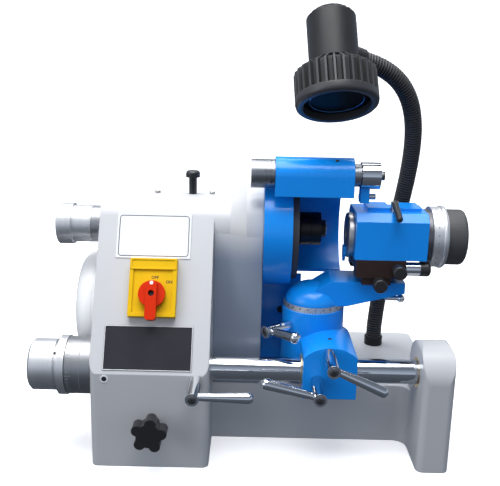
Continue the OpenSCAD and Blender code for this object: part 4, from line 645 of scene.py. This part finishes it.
class GRINDER_OT_finishes(bpy.types.Operator):
    """Gives every CAD node its finish"""

    bl_idname = "grinder.finishes"
    bl_label = "Finish the Solids"

    # Where a second finish starts on a solid, in mm
    DARK_PLATE_TOP = 160
    BAR_COLLAR_X = -208
    THIMBLE_X = 152.2
    EYE_R = 13.8
    EYE_BOTTOM = 284
    DRESSER_POINT_X = 96.5
    DRUM_X = 163.9
    PIN_R = 4.05
    SHAFT_TIP_X = 108

    def execute(self, context):
        for name, nodes in NODE_FINISHES.items():
            for node in nodes:
                coat_node(node, name)
        coat_faces("label_plates", "dark_print", lambda c: c.z < self.DARK_PLATE_TOP)
        coat_faces("bar_dial", "collar_aluminium", lambda c: c.x > self.BAR_COLLAR_X)
        coat_faces("slide_screw", "black_moulding", lambda c: c.x > self.THIMBLE_X)
        coat_faces("dresser_arm", "chrome_plate", self.on_dresser_eye)
        coat_faces("index_drum", "dark_steel", lambda c: c.x < self.DRUM_X)
        coat_faces("index_pin", "ground_steel", lambda c: (c - INDEX_PIN).xy.length < self.PIN_R)
        coat_faces("dresser_shaft", "black_moulding", lambda c: c.x > self.SHAFT_TIP_X)
        return {"FINISHED"}

    def on_dresser_eye(self, c):
        """Whether a place belongs to the dresser arm's plated eye or its point."""
        from_axis = (c - DRESSER_AXIS).yz.length
        return from_axis < self.EYE_R or c.z > self.EYE_BOTTOM or c.x > self.DRESSER_POINT_X


# Rounded forms of the castings


class GRINDER_OT_castings(bpy.types.Operator):
    """Fairs the column into the housing above it and rounds out the swivel arm's dome"""

    bl_idname = "grinder.castings"
    bl_label = "Castings"

    # Place across, and how far the housing above reaches forward there
    COLUMN_REACH = ((-61.5, 36.1), (-45, 36.1), (-28, 48.1), (-10.4, 48.1))
    COLUMN_FOOT = (-45.3, 66)
    COLUMN_BACK_Y = -30
    # How far the fairing runs up into the housing, and back there
    COLUMN_UP = 8
    COLUMN_TUCK = 2.5
    DOME = ((30.5, 157.2), (30.8, 158.5), (30.0, 162.0), (27.0, 167.5), (22.0, 172.0), (15.0, 175.0), (7.0, 176.6),
            (0, 177.0), (0, 157.2))

    def execute(self, context):
        back, axis_z = self.COLUMN_BACK_Y, SPINDLE_AXIS.z
        top = axis_z + self.COLUMN_UP
        bm = bmesh.new()
        rings = []
        for x, reach in self.COLUMN_REACH:
            outline = [(back, self.COLUMN_FOOT[1]), self.COLUMN_FOOT, (-reach, axis_z),
                       (self.COLUMN_TUCK - reach, top), (back, top)]
            rings.append([bm.verts.new(Vector((x, y, z)) * MM) for y, z in outline])
        for low, high in zip(rings, rings[1:]):
            join_rings(bm, low, high)
        bm.faces.new(list(reversed(rings[0])))
        bm.faces.new(rings[-1])
        # The fairing's foot takes painted shade.
        make_piece("column_fairing", bm, finish("column_enamel"), "machine", 50)

        bm = bmesh.new()
        add_turned(bm, self.DOME, seat(SWIVEL_AXIS, (0, 0, 1)), 96, closed=True)
        make_piece("arm_dome", bm, finish("blue_enamel"), "arm")
        return {"FINISHED"}


# Gooseneck


def bezier(a, b, c, d, t):
    """A point of a cubic curve."""
    u = 1 - t
    return a * u**3 + b * (3 * t * u * u) + c * (3 * t * t * u) + d * t**3


def neck_route(lamp_end):
    """Points in mm along the middle of the gooseneck, from its foot to the lamp's socket."""
    out = NECK_LEAVES.normalized()
    low_end = NECK_FOOT + Vector((0, 0, NECK_START_STRAIGHT))
    high_end = lamp_end + out * NECK_START_STRAIGHT
    pull_low = low_end + NECK_PULL_LOW
    pull_high = high_end + out * NECK_PULL_HIGH
    shares = [i / NECK_STEPS for i in range(NECK_STEPS + 1)]
    bend = [bezier(low_end, pull_low, pull_high, high_end, share) for share in shares]
    return [NECK_FOOT, *bend, lamp_end]


def evenly(points, count):
    """Points at equal steps along a line of points."""
    reach = [0.0]
    for a, b in zip(points, points[1:]):
        reach.append(reach[-1] + (b - a).length)
    even, k = [], 0
    for i in range(count):
        goal = reach[-1] * i / (count - 1)
        while k < len(points) - 2 and reach[k + 1] < goal:
            k += 1
        share = (goal - reach[k]) / (reach[k + 1] - reach[k])
        even.append(points[k].lerp(points[k + 1], min(1.0, share)))
    return even


class GRINDER_OT_gooseneck(bpy.types.Operator):
    """Builds the ribbed hose of the lamp, with painted shade in its grooves"""

    bl_idname = "grinder.gooseneck"
    bl_label = "Gooseneck"

    SIDES = 28
    RINGS_A_RIB = 4
    SOCKET_END = 33
    SOCKET_DEPTH = 8.6
    SOCKET_UP = 62

    def execute(self, context):
        sizes = context.scene.grinder.fittings
        out = NECK_LEAVES.normalized()
        root = in_lamp() @ Vector((0, 0, self.SOCKET_UP * MM)) / MM
        route = neck_route(root + out * (self.SOCKET_END - self.SOCKET_DEPTH))
        middle = evenly(route, sizes.hose_ribs * self.RINGS_A_RIB + 1)
        bm = bmesh.new()
        rings = []
        side = Vector((0, 1, 0))
        for i, at in enumerate(middle):
            way = (middle[min(i + 1, len(middle) - 1)] - middle[max(i - 1, 0)]).normalized()
            side = (side - way * side.dot(way)).normalized()
            wave = 0.5 - 0.5 * math.cos(FULL_TURN * i / self.RINGS_A_RIB)
            radius = sizes.hose_radius / MM - sizes.rib_depth / MM * wave**2
            rings.append(ring_of(bm, seat(at, way, side), radius, 0.0, self.SIDES, None))
        for low, high in zip(rings, rings[1:]):
            join_rings(bm, low, high)
        bm.faces.new(list(reversed(rings[0])))
        bm.faces.new(rings[-1])
        hose = make_piece("gooseneck_hose", bm, finish("hose_moulding"), "machine", 80)
        # Faces in the grooves between ribs take painted shade.
        hose.data.materials.append(finish("vent_black"))
        for face in hose.data.polygons:
            if face.index // self.SIDES % self.RINGS_A_RIB in (1, 2):
                face.material_index = 1
        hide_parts("gooseneck")
        return {"FINISHED"}


# Switch and plates


class GRINDER_OT_plates(bpy.types.Operator):
    """Prints the borders of the two bare plates"""

    bl_idname = "grinder.plates"
    bl_label = "Plates"

    PLATE_FACE = 0.8
    # Name, height of the middle up the slope, width, height and corner radius of both outlines, finish
    BORDERS = (
        ("data_plate_border", 143, (73, 44, 3.4), (71.4, 42.4, 2.6), "ink"),
        ("dark_plate_border", 26.5, (88.6, 44.6, 0.6), (87.4, 43.4, 0.5), "white_ink"),
    )

    def execute(self, context):
        proud = context.scene.grinder.fittings.print_depth / MM
        for name, up, outer, inner, print_finish in self.BORDERS:
            bm = bmesh.new()
            add_band(bm, rounded_outline(*outer), rounded_outline(*inner), -0.05, proud,
                     seat(on_slope(PLATE_X, up, self.PLATE_FACE), SLOPE_OUT))
            make_piece(name, bm, finish(print_finish), "machine")
        return {"FINISHED"}


class GRINDER_OT_switch(bpy.types.Operator):
    """Prints the switch's positions and puts the dot and the screw on its knob"""

    bl_idname = "grinder.switch"
    bl_label = "Switch"

    PLATE_FACE = 8.5
    # Words, place across from the switch's middle and up the slope
    POSITIONS = (("OFF", 2.0, 97.2), ("ON", 16.4, 92.8))
    LETTER_H = 4.2
    STRIP_UP = 111.0
    STRIP_FACE = 10.0
    STRIP_OUTER = (47.2, 11.4, 1.4)
    STRIP_INNER = (43.6, 8.0, 0.8)
    KNOB_UP = 79.5
    DOT_UP = 89.7
    DOT_FACE = 19.4
    DOT = ((0, 0.25), (1.3, 0.22), (1.9, 0.0), (1.9, -0.2), (0, -0.2))
    SCREW_FACE = 15.5
    SCREW = ((0, 0.5), (1.1, 0.5), (1.1, 1.2), (2.6, 1.0), (2.9, 0.2), (2.9, -0.4), (0, -0.4))

    def execute(self, context):
        proud = context.scene.grinder.fittings.print_depth / MM

        def place(up, out, across=0.0):
            return seat(on_slope(SWITCH_X + across, up, out), SLOPE_OUT)

        bm = bmesh.new()
        for words, across, up in self.POSITIONS:
            add_lettering(bm, words, place(up, self.PLATE_FACE, across), self.LETTER_H, proud)
        make_piece("switch_positions", bm, finish("dark_print"), "machine")
        bm = bmesh.new()
        add_band(bm, rounded_outline(*self.STRIP_OUTER), rounded_outline(*self.STRIP_INNER), -0.2, 0.7,
                 place(self.STRIP_UP, self.STRIP_FACE))
        make_piece("switch_strip_rim", bm, finish("yellow_moulding"), "machine")
        bm = bmesh.new()
        add_turned(bm, self.DOT, place(self.DOT_UP, self.DOT_FACE), 24)
        make_piece("switch_dot", bm, finish("white_ink"), "switch")
        bm = bmesh.new()
        add_turned(bm, self.SCREW, place(self.KNOB_UP, self.SCREW_FACE), 32)
        make_piece("switch_screw", bm, finish("hole_shade"), "switch")
        return {"FINISHED"}


# Scales


def round_place(axis_at, axis, radius, start, angle, along=0.0):
    """A place on a round face: its middle in mm, the way out and the way along the axis."""
    way = Vector(axis).normalized()
    start = Vector(start)
    start = (start - way * start.dot(way)).normalized()
    out = Matrix.Rotation(angle, 3, way) @ start
    return Vector(axis_at) + out * radius + way * along, out, way


def add_marks(bm, axis_at, axis, radius, start, marks, width, proud):
    """Scale marks on a round face: each mark is (angle, from, to) along the axis."""
    for angle, low, high in marks:
        at, out, way = round_place(axis_at, axis, radius, start, angle)
        outline = [(low, -width / 2), (high, -width / 2), (high, width / 2), (low, width / 2)]
        add_slab(bm, outline, -0.15, proud, seat(at, out, way))


def add_figures(bm, axis_at, axis, radius, start, figures, height, proud):
    """Figures round a scale: each is (angle, place along the axis, words), upright along the axis."""
    for angle, along, words in figures:
        at, out, way = round_place(axis_at, axis, radius, start, angle, along)
        add_lettering(bm, words, seat(at, out, way.cross(out)), height, proud)


class GRINDER_OT_scales(bpy.types.Operator):
    """Engraves the marks and figures of the dials and the swivel ring"""

    bl_idname = "grinder.scales"
    bl_label = "Scales"

    FRONT = Vector((0, -1, 0))
    ALONG_X = (1, 0, 0)
    # Where each scale starts along its axis, and its radius
    SWIVEL_Z, SWIVEL_R = 151, 32.0
    BAR_X, BAR_R = -207.6, 29.5
    BAR_LINE_X = -193.0
    BAR_LINE = ((29.4, -0.2), (29.6, -0.2), (29.6, 0.2), (29.4, 0.2))
    FEED_X, FEED_R = -195.4, 20.0
    FEED_ZERO_X = -195.0
    DRUM_X, DRUM_R = 169.0, 32.0
    DOT = ((0, 0.06), (0.9, 0.06), (1.0, -0.15), (0, -0.15))
    DOTS = 24

    def execute(self, context):
        sizes = context.scene.grinder.fittings
        width, proud = sizes.mark_width / MM, sizes.print_depth / MM
        faint = finish("faint_ink")

        bm = bmesh.new()
        ring = (SWIVEL_AXIS + Vector((0, 0, self.SWIVEL_Z)), (0, 0, 1), self.SWIVEL_R, self.FRONT)
        marks = [(math.radians(5 * i), 0.4, 1.6 if i % 2 else 2.4) for i in range(72)]
        add_marks(bm, *ring, marks, width, proud)
        figures = [(math.radians(15 * i), 4.1, str(abs(15 * i))) for i in range(-6, 7)]
        add_figures(bm, *ring, figures, 2.6, proud)
        make_piece("swivel_scale", bm, finish("ink"), "carriage_unit")

        bm = bmesh.new()
        marks = [(FULL_TURN * i / 50, 0.6, 6.5 if i % 5 == 0 else 4.0) for i in range(50)]
        at = BAR_AXIS + Vector((self.BAR_X, 0, 0))
        add_marks(bm, at, self.ALONG_X, self.BAR_R, self.FRONT, marks, width, proud)
        at = BAR_AXIS + Vector((self.BAR_LINE_X, 0, 0))
        add_turned(bm, self.BAR_LINE, seat(at, self.ALONG_X, (0, 1, 0)), 96, closed=True)
        make_piece("bar_scale", bm, faint, "machine")

        bm = bmesh.new()
        marks = [(FULL_TURN * i / 40, -0.4, -5.0 if i % 5 == 0 else -3.0) for i in range(40)]
        at = SPINDLE_AXIS + Vector((self.FEED_X, 0, 0))
        add_marks(bm, at, self.ALONG_X, self.FEED_R, self.FRONT, marks, width, proud)
        make_piece("feed_scale", bm, faint, "feed_knob")

        bm = bmesh.new()
        at = SPINDLE_AXIS + Vector((self.FEED_ZERO_X, 0, 0))
        add_marks(bm, at, self.ALONG_X, self.FEED_R, self.FRONT, [(0.0, 0.3, 9.0)], width, proud)
        make_piece("feed_zero_mark", bm, faint, "machine")

        bm = bmesh.new()
        drum = WORK_AXIS + Vector((self.DRUM_X, 0, 0))
        for i in range(self.DOTS):
            at, out, way = round_place(drum, self.ALONG_X, self.DRUM_R, self.FRONT, FULL_TURN * i / self.DOTS)
            add_turned(bm, self.DOT, seat(at, out, way), 16)
        make_piece("index_dots", bm, faint, "work")
        return {"FINISHED"}


# Screws and plugs


def add_screw_head(bm, place, radius):
    """A domed screw head."""
    dome = [(0, 0.9), (radius * 0.45, 0.8), (radius * 0.8, 0.45), (radius, 0.0), (radius, -0.4), (0, -0.4)]
    add_turned(bm, dome, place, 32)


def cross_outline(reach, half_width):
    """The cross of a screw's driver slot."""
    a, b = half_width, reach
    return [(b, -a), (b, a), (a, a), (a, b), (-a, b), (-a, a), (-b, a), (-b, -a), (-a, -a), (-a, -b), (a, -b), (a, -a)]


# Body of each lever, then the name, place and way out of its screw
LEVER_HUBS = {
    "lever_box": ("box", (-75.5, -152.4, 97), (0, -1, 0)),
    "lever_swing": ("swing", (57.5, -147.9, 126), (0, -1, 0)),
    "lever_slide": ("slide", (46, -147.9, 97), (0, -1, 0)),
    "lever_lock": ("lock", (-6.63, -65.66, 133), (-0.79864, -0.60182, 0)),
}


class GRINDER_OT_lever_screws(bpy.types.Operator):
    """Puts the cross-head screw and its slot into the hub of each clamp lever"""

    bl_idname = "grinder.lever_screws"
    bl_label = "Lever Screws"

    HEAD_R = 4.4
    SLOT_REACH = 2.6
    SLOT_HALF_WIDTH = 0.55
    SLOT_TURN = 0.5

    def execute(self, context):
        for body, (name, at, out) in LEVER_HUBS.items():
            place = seat(at, out, (1, 0.2, 0))
            bm = bmesh.new()
            add_screw_head(bm, place, self.HEAD_R)
            make_piece(name + "_lever_screw", bm, finish("dark_steel"), body)
            bm = bmesh.new()
            slot = cross_outline(self.SLOT_REACH, self.SLOT_HALF_WIDTH)
            add_slab(bm, slot, 0.0, 0.92, place @ Matrix.Rotation(self.SLOT_TURN, 4, "Z"))
            make_piece(name + "_lever_slot", bm, finish("hole_shade"), body)
        return {"FINISHED"}


# Name, place, way out, radius, body and whether a bright rim shows
SET_SCREWS = (
    ("crown_hole", (59.8, -80.7, 133.0), (0, 0, 1), 2.0, "carriage_unit", False),
    ("boss_hole", (61.5, -53.4, 311.9), (0, -0.48, 0.88), 1.9, "machine", False),
    ("dresser_head_hole", (-2.8, -58.4, 290.9), (0, -0.92, -0.38), 1.9, "dresser_slide", False),
    ("dial_hole", (-218.4, -91.9, 115.5), (0, -0.64, 0.77), 2.0, "bar_knob", False),
    ("box_plug", (-166.4, -110.0, 96.7), (0, -1, 0), 2.6, "machine", True),
)


class GRINDER_OT_set_screws(bpy.types.Operator):
    """Puts the socket set screws and the box's plug in place"""

    bl_idname = "grinder.set_screws"
    bl_label = "Set Screws"

    def execute(self, context):
        for name, at, out, radius, body, rimmed in SET_SCREWS:
            place = seat(at, out, (1, 0.01, 0))
            bm = bmesh.new()
            profile = [(0, 0.05), (radius * 0.5, 0.05), (radius * 0.6, 0.2), (radius, 0.2), (radius, -0.6), (0, -0.6)]
            add_turned(bm, profile, place, 24)
            make_piece(name, bm, finish("hole_shade"), body)
            if rimmed:
                bm = bmesh.new()
                ring = [(radius, -0.3), (radius, 0.35), (radius + 0.5, 0.5), (radius + 1.6, 0.3), (radius + 1.8, -0.3)]
                add_turned(bm, ring, place, 32, closed=True)
                make_piece(name + "_rim", bm, finish("white_print"), body)
        return {"FINISHED"}


# Work head


class GRINDER_OT_work_head(bpy.types.Operator):
    """Builds the knurled work knob and the index drum's bead"""

    bl_idname = "grinder.work_head"
    bl_label = "Work Head"

    # Profiles of radius and place along the work axis
    KNOB = ((15.0, 179.6), (28.6, 179.6), (29.2, 180.0), (29.4, 181.5), (29.4, 196.5), (29.1, 198.2), (28.2, 199.6),
            (26.8, 200.4), (25.4, 200.5), (9.7, 200.5), (9.7, 197.0), (15.0, 197.0))
    BEAD = ((31.8, 174.2), (32.7, 174.6), (33.2, 175.6), (33.2, 177.6), (32.7, 178.8), (31.8, 179.3))
    KNURL_FROM, KNURL_TO = 181.0, 197.0
    KNURL_DEPTH = 0.22

    def execute(self, context):
        ridges = context.scene.grinder.fittings.knurl_ridges
        along_x = seat(WORK_AXIS, (1, 0, 0), (0, 1, 0))

        def knurl(angle, height):
            if not self.KNURL_FROM < height < self.KNURL_TO:
                return 0.0
            return -self.KNURL_DEPTH * (0.5 + 0.5 * math.cos(ridges * angle))

        bm = bmesh.new()
        add_turned(bm, self.KNOB, along_x, ridges * 4, closed=True, ripple=knurl)
        knob = make_piece("work_knob_knurled", bm, finish("grip_moulding"), "work", 50)
        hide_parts("work_knob")
        bm = bmesh.new()
        add_turned(bm, self.BEAD, along_x, 96, closed=True)
        make_piece("drum_bead", bm, finish("dial_aluminium"), "work")
        return {"FINISHED"}


# Lamp


class GRINDER_OT_lamp(bpy.types.Operator):
    """Builds the lamp's finned head and adds its lens ring, and its top vents as dark slabs of painted shade"""

    bl_idname = "grinder.lamp"
    bl_label = "Lamp"

    VENTS = 10
    VENT_SIZE = (9.6, 3.6, 1.2)
    VENT_AT = Vector((21.8, 0, 98.8))
    VENT_SLOPE = math.radians(45)
    LENS_RING = ((26.0, 8.1), (26.0, 6.9), (26.6, 6.5), (27.2, 6.9), (27.2, 8.1))
    FINS = 30
    STEPS_A_FIN = 8
    FIN_LOW = 9.4
    FIN_HIGH = 44.4
    SHOULDER = 35.0
    HEAD_R = 41.0
    BODY_R = 25.0
    HEAD_H = 46.0
    NECK_UP = 62.0
    NECK_CLEAR = 11.5

    def execute(self, context):
        place = in_lamp()
        self.head(place)
        bm = bmesh.new()
        add_turned(bm, self.LENS_RING, place, 64, closed=True)
        make_piece("lens_ring", bm, finish("lens_rim"), "lamp")
        # Each vent is a thin dark slab: painted shade where the opening is.
        bm = bmesh.new()
        for i in range(self.VENTS):
            turn = Matrix.Rotation(FULL_TURN * (i + 0.2) / self.VENTS, 4, "Z")
            tilt = Matrix.Rotation(self.VENT_SLOPE, 4, "Y") @ Matrix.Rotation(math.pi / 2, 4, "Z")
            vent = place @ turn @ Matrix.Translation(self.VENT_AT * MM) @ tilt
            add_slab(bm, rounded_outline(*self.VENT_SIZE), -0.3, 0.1, vent)
        make_piece("lamp_vents", bm, finish("vent_black"), "lamp")
        return {"FINISHED"}

    def outer_radius(self, height):
        """The head's radius at a height above its mouth."""
        slope = (self.HEAD_R - self.BODY_R) / (self.HEAD_H - self.SHOULDER)
        return self.HEAD_R - max(0.0, height - self.SHOULDER) * slope

    def head(self, place):
        """The head, its grooves running from above the rim over the shoulder, with a hollow for the neck; the deep
        faces of grooves and hollow take painted shade.
        """

        def grooves(angle, height):
            if not self.FIN_LOW < height < self.FIN_HIGH:
                return 0.0
            step = round(angle / FULL_TURN * self.FINS * self.STEPS_A_FIN) % self.STEPS_A_FIN
            return -min(4.0, self.outer_radius(height) - self.BODY_R - 0.5) if 2 <= step <= 6 else 0.0

        profile = [(0, 9.2), (33.0, 9.2), (33.0, 2.0), (33.6, 0.9), (35.0, 0.2), (36.8, 0.0), (38.8, 0.6),
                   (40.3, 2.0), (41.0, 4.4), (41.0, self.FIN_LOW)]
        heights = [self.FIN_LOW + 0.1, 15.0, 20.0, 25.0, 30.0, 34.0, 35.0, 36.5, 38.5, 40.5, 42.5, 44.3, self.FIN_HIGH]
        profile += [(self.outer_radius(h), h) for h in heights]
        profile += [(self.BODY_R, self.HEAD_H), (0, self.HEAD_H)]
        bm = bmesh.new()
        add_turned(bm, profile, place, self.FINS * self.STEPS_A_FIN, ripple=grooves)
        root = place @ Vector((0, 0, self.NECK_UP * MM))
        way = NECK_LEAVES.normalized()
        for vert in bm.verts:
            along = (vert.co - root).dot(way)
            off = vert.co - root - way * along
            if along > 0 and 0 < off.length < self.NECK_CLEAR * MM:
                vert.co += off.normalized() * (self.NECK_CLEAR * MM - off.length)
        head = make_piece("lamp_head_finned", bm, finish("lamp_moulding"), "lamp", 35)
        head.data.materials.append(finish("vent_black"))
        # Deep faces in the grooves and in the neck's hollow take painted shade.
        to_lamp = place.inverted()
        for face in head.data.polygons:
            middle = to_lamp @ face.center / MM
            depth = self.outer_radius(middle.z) - math.hypot(middle.x, middle.y)
            if depth > 1.2 and self.FIN_LOW < middle.z < self.FIN_HIGH or depth > 7.0:
                face.material_index = 1
        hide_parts("lamp_head")


# Stage


class GRINDER_OT_stage(bpy.types.Operator):
    """Sets up floor, backdrop, lights and camera"""

    bl_idname = "grinder.stage"
    bl_label = "Stage"

    CAMERA_AT = Vector((-24.0, -780.3, 410.7))
    CAMERA_DOWN = math.radians(14.3)
    CAMERA_ROLL = math.radians(1.28)
    CAMERA_LENS = 52.56
    # Place of each soft box, what it is aimed at, and its size
    LIGHTS = {
        "key": ((-160, -250, 1500), (0, 0, 150), (1400, 1100)),
        "fill": ((-1300, -900, 700), (0, 0, 180), (900, 1200)),
        "back": ((0, 700, 1500), (0, 1500, 400), (2200, 500)),
    }
    FLOOR_NEAR, FLOOR_FAR, FLOOR_SIDE = -4000, 1300, 4000
    SWEEP_R = 600
    BACKDROP_H = 3200
    SKY_TINT = (0.73, 0.83, 1.0)
    SKY_STOPS = ((0.0, 0.15), (0.44, 0.25), (0.5, 1.0), (0.66, 0.8), (0.85, 0.35), (1.0, 0.5))

    def execute(self, context):
        stage = context.scene.grinder.stage
        context.scene.view_settings.view_transform = "Standard"
        self.camera(context)
        self.floor(stage)
        for name, (at, goal, size) in self.LIGHTS.items():
            self.light(name + "_light", getattr(stage, name + "_power"), at, goal, size)
        self.sky(context, stage)
        return {"FINISHED"}

    def sky(self, context, stage):
        """Even light all round: dark below the horizon, brightest just above it."""
        world = bpy.data.worlds.new("studio")
        world.use_nodes = True
        tree = world.node_tree
        backdrop = tree.nodes["Background"]
        way = add_node(tree, "ShaderNodeTexCoord").outputs["Generated"]
        height = add_node(tree, "ShaderNodeSeparateXYZ", {0: way}).outputs["Z"]
        share = add_node(tree, "ShaderNodeMapRange", {"Value": height, "From Min": -1.0, "From Max": 1.0})
        ramp = add_node(tree, "ShaderNodeValToRGB", {"Fac": share.outputs[0]})
        stops = ramp.color_ramp.elements
        while len(stops) < len(self.SKY_STOPS):
            stops.new(0.5)
        for stop, (at, level) in zip(stops, self.SKY_STOPS):
            stop.position = at
            stop.color = (*(level * part for part in self.SKY_TINT), 1)
        tree.links.new(ramp.outputs["Color"], backdrop.inputs["Color"])
        backdrop.inputs["Strength"].default_value = stage.sky
        context.scene.world = world

    def camera(self, context):
        """The camera of the photograph."""
        data = bpy.data.cameras.new("photo_camera")
        data.sensor_width = 36.0
        data.lens = self.CAMERA_LENS
        data.clip_start = 0.01
        data.clip_end = 50.0
        ahead = Vector((0, math.cos(self.CAMERA_DOWN), -math.sin(self.CAMERA_DOWN)))
        level_up = Vector((0, math.sin(self.CAMERA_DOWN), math.cos(self.CAMERA_DOWN)))
        level_right = Vector((1, 0, 0))
        turn = self.CAMERA_ROLL
        right = math.cos(turn) * level_right + math.sin(turn) * level_up
        up = math.cos(turn) * level_up - math.sin(turn) * level_right
        camera = bpy.data.objects.new("photo_camera", data)
        camera.matrix_world = (Matrix.Translation(self.CAMERA_AT * MM)
                               @ Matrix((right, up, -ahead)).transposed().to_4x4())
        context.scene.collection.objects.link(camera)
        context.scene.camera = camera

    def floor(self, stage):
        """A pale floor that sweeps up into the backdrop."""
        material = bpy.data.materials.new("studio_floor")
        material.use_nodes = True
        shader = material.node_tree.nodes["Principled BSDF"]
        shader.inputs["Base Color"].default_value = (*stage.floor, 1)
        shader.inputs["Roughness"].default_value = 0.9
        shader.inputs["Specular IOR Level"].default_value = 0.1
        shader.inputs["Emission Color"].default_value = (*stage.floor, 1)
        shader.inputs["Emission Strength"].default_value = stage.glow
        bm = bmesh.new()
        far, r, side = self.FLOOR_FAR, self.SWEEP_R, self.FLOOR_SIDE
        sweep = [(self.FLOOR_NEAR, 0), (far, 0)]
        angles = [math.radians(6 * i) for i in range(1, 16)]
        sweep += [(far + r * math.sin(a), r - r * math.cos(a)) for a in angles]
        sweep.append((far + r, self.BACKDROP_H))
        rows = [[bm.verts.new(Vector((x, y, z)) * MM) for x in (-side, side)] for y, z in sweep]
        for low, high in zip(rows, rows[1:]):
            bm.faces.new([low[0], low[1], high[1], high[0]])
        mesh = bpy.data.meshes.new("studio_floor")
        bm.to_mesh(mesh)
        bm.free()
        mesh.materials.append(material)
        mesh.shade_smooth()
        floor = bpy.data.objects.new("studio_floor", mesh)
        bpy.context.scene.collection.objects.link(floor)
        floor.visible_diffuse = False
        floor.visible_glossy = False

    def light(self, name, power, at, goal, size):
        """A soft box at a place in mm, aimed at another."""
        data = bpy.data.lights.new(name, "AREA")
        data.shape = "RECTANGLE"
        data.size, data.size_y = (side * MM for side in size)
        data.energy = power
        lamp = bpy.data.objects.new(name, data)
        lamp.location = Vector(at) * MM
        lamp.rotation_euler = (Vector(goal) - Vector(at)).to_track_quat("-Z", "Y").to_euler()
        bpy.context.scene.collection.objects.link(lamp)


# Panel and registration


STEPS = (
    GRINDER_OT_finishes,
    GRINDER_OT_castings,
    GRINDER_OT_gooseneck,
    GRINDER_OT_plates,
    GRINDER_OT_switch,
    GRINDER_OT_scales,
    GRINDER_OT_lever_screws,
    GRINDER_OT_set_screws,
    GRINDER_OT_work_head,
    GRINDER_OT_lamp,
    GRINDER_OT_stage,
)


class GRINDER_PT_panel(bpy.types.Panel):
    """Lists the grinder's settings and building steps"""

    bl_idname = "GRINDER_PT_panel"
    bl_label = "Tool and Cutter Grinder"
    bl_space_type = "VIEW_3D"
    bl_region_type = "UI"
    bl_category = "Grinder"

    def draw(self, context):
        settings = context.scene.grinder
        for group in (settings.colours, settings.fittings, settings.stage):
            box = self.layout.box()
            for name in group.bl_rna.properties.keys():
                if name not in ("rna_type", "name"):
                    box.prop(group, name)
        for step in STEPS:
            self.layout.operator(step.bl_idname)


CLASSES = (GrinderColours, GrinderFittings, GrinderStage, GrinderSettings, *STEPS, GRINDER_PT_panel)


def register():
    """Registers the classes and the scene's settings."""
    for item in CLASSES:
        bpy.utils.register_class(item)
    bpy.types.Scene.grinder = PointerProperty(type=GrinderSettings)


def unregister():
    """Takes back what register did."""
    del bpy.types.Scene.grinder
    for item in reversed(CLASSES):
        bpy.utils.unregister_class(item)


def main():
    """Builds everything in order."""
    register()
    bpy.ops.grinder.finishes()
    bpy.ops.grinder.castings()
    bpy.ops.grinder.gooseneck()
    bpy.ops.grinder.plates()
    bpy.ops.grinder.switch()
    bpy.ops.grinder.scales()
    bpy.ops.grinder.lever_screws()
    bpy.ops.grinder.set_screws()
    bpy.ops.grinder.work_head()
    bpy.ops.grinder.lamp()
    bpy.ops.grinder.stage()


if __name__ == "__main__":
    main()
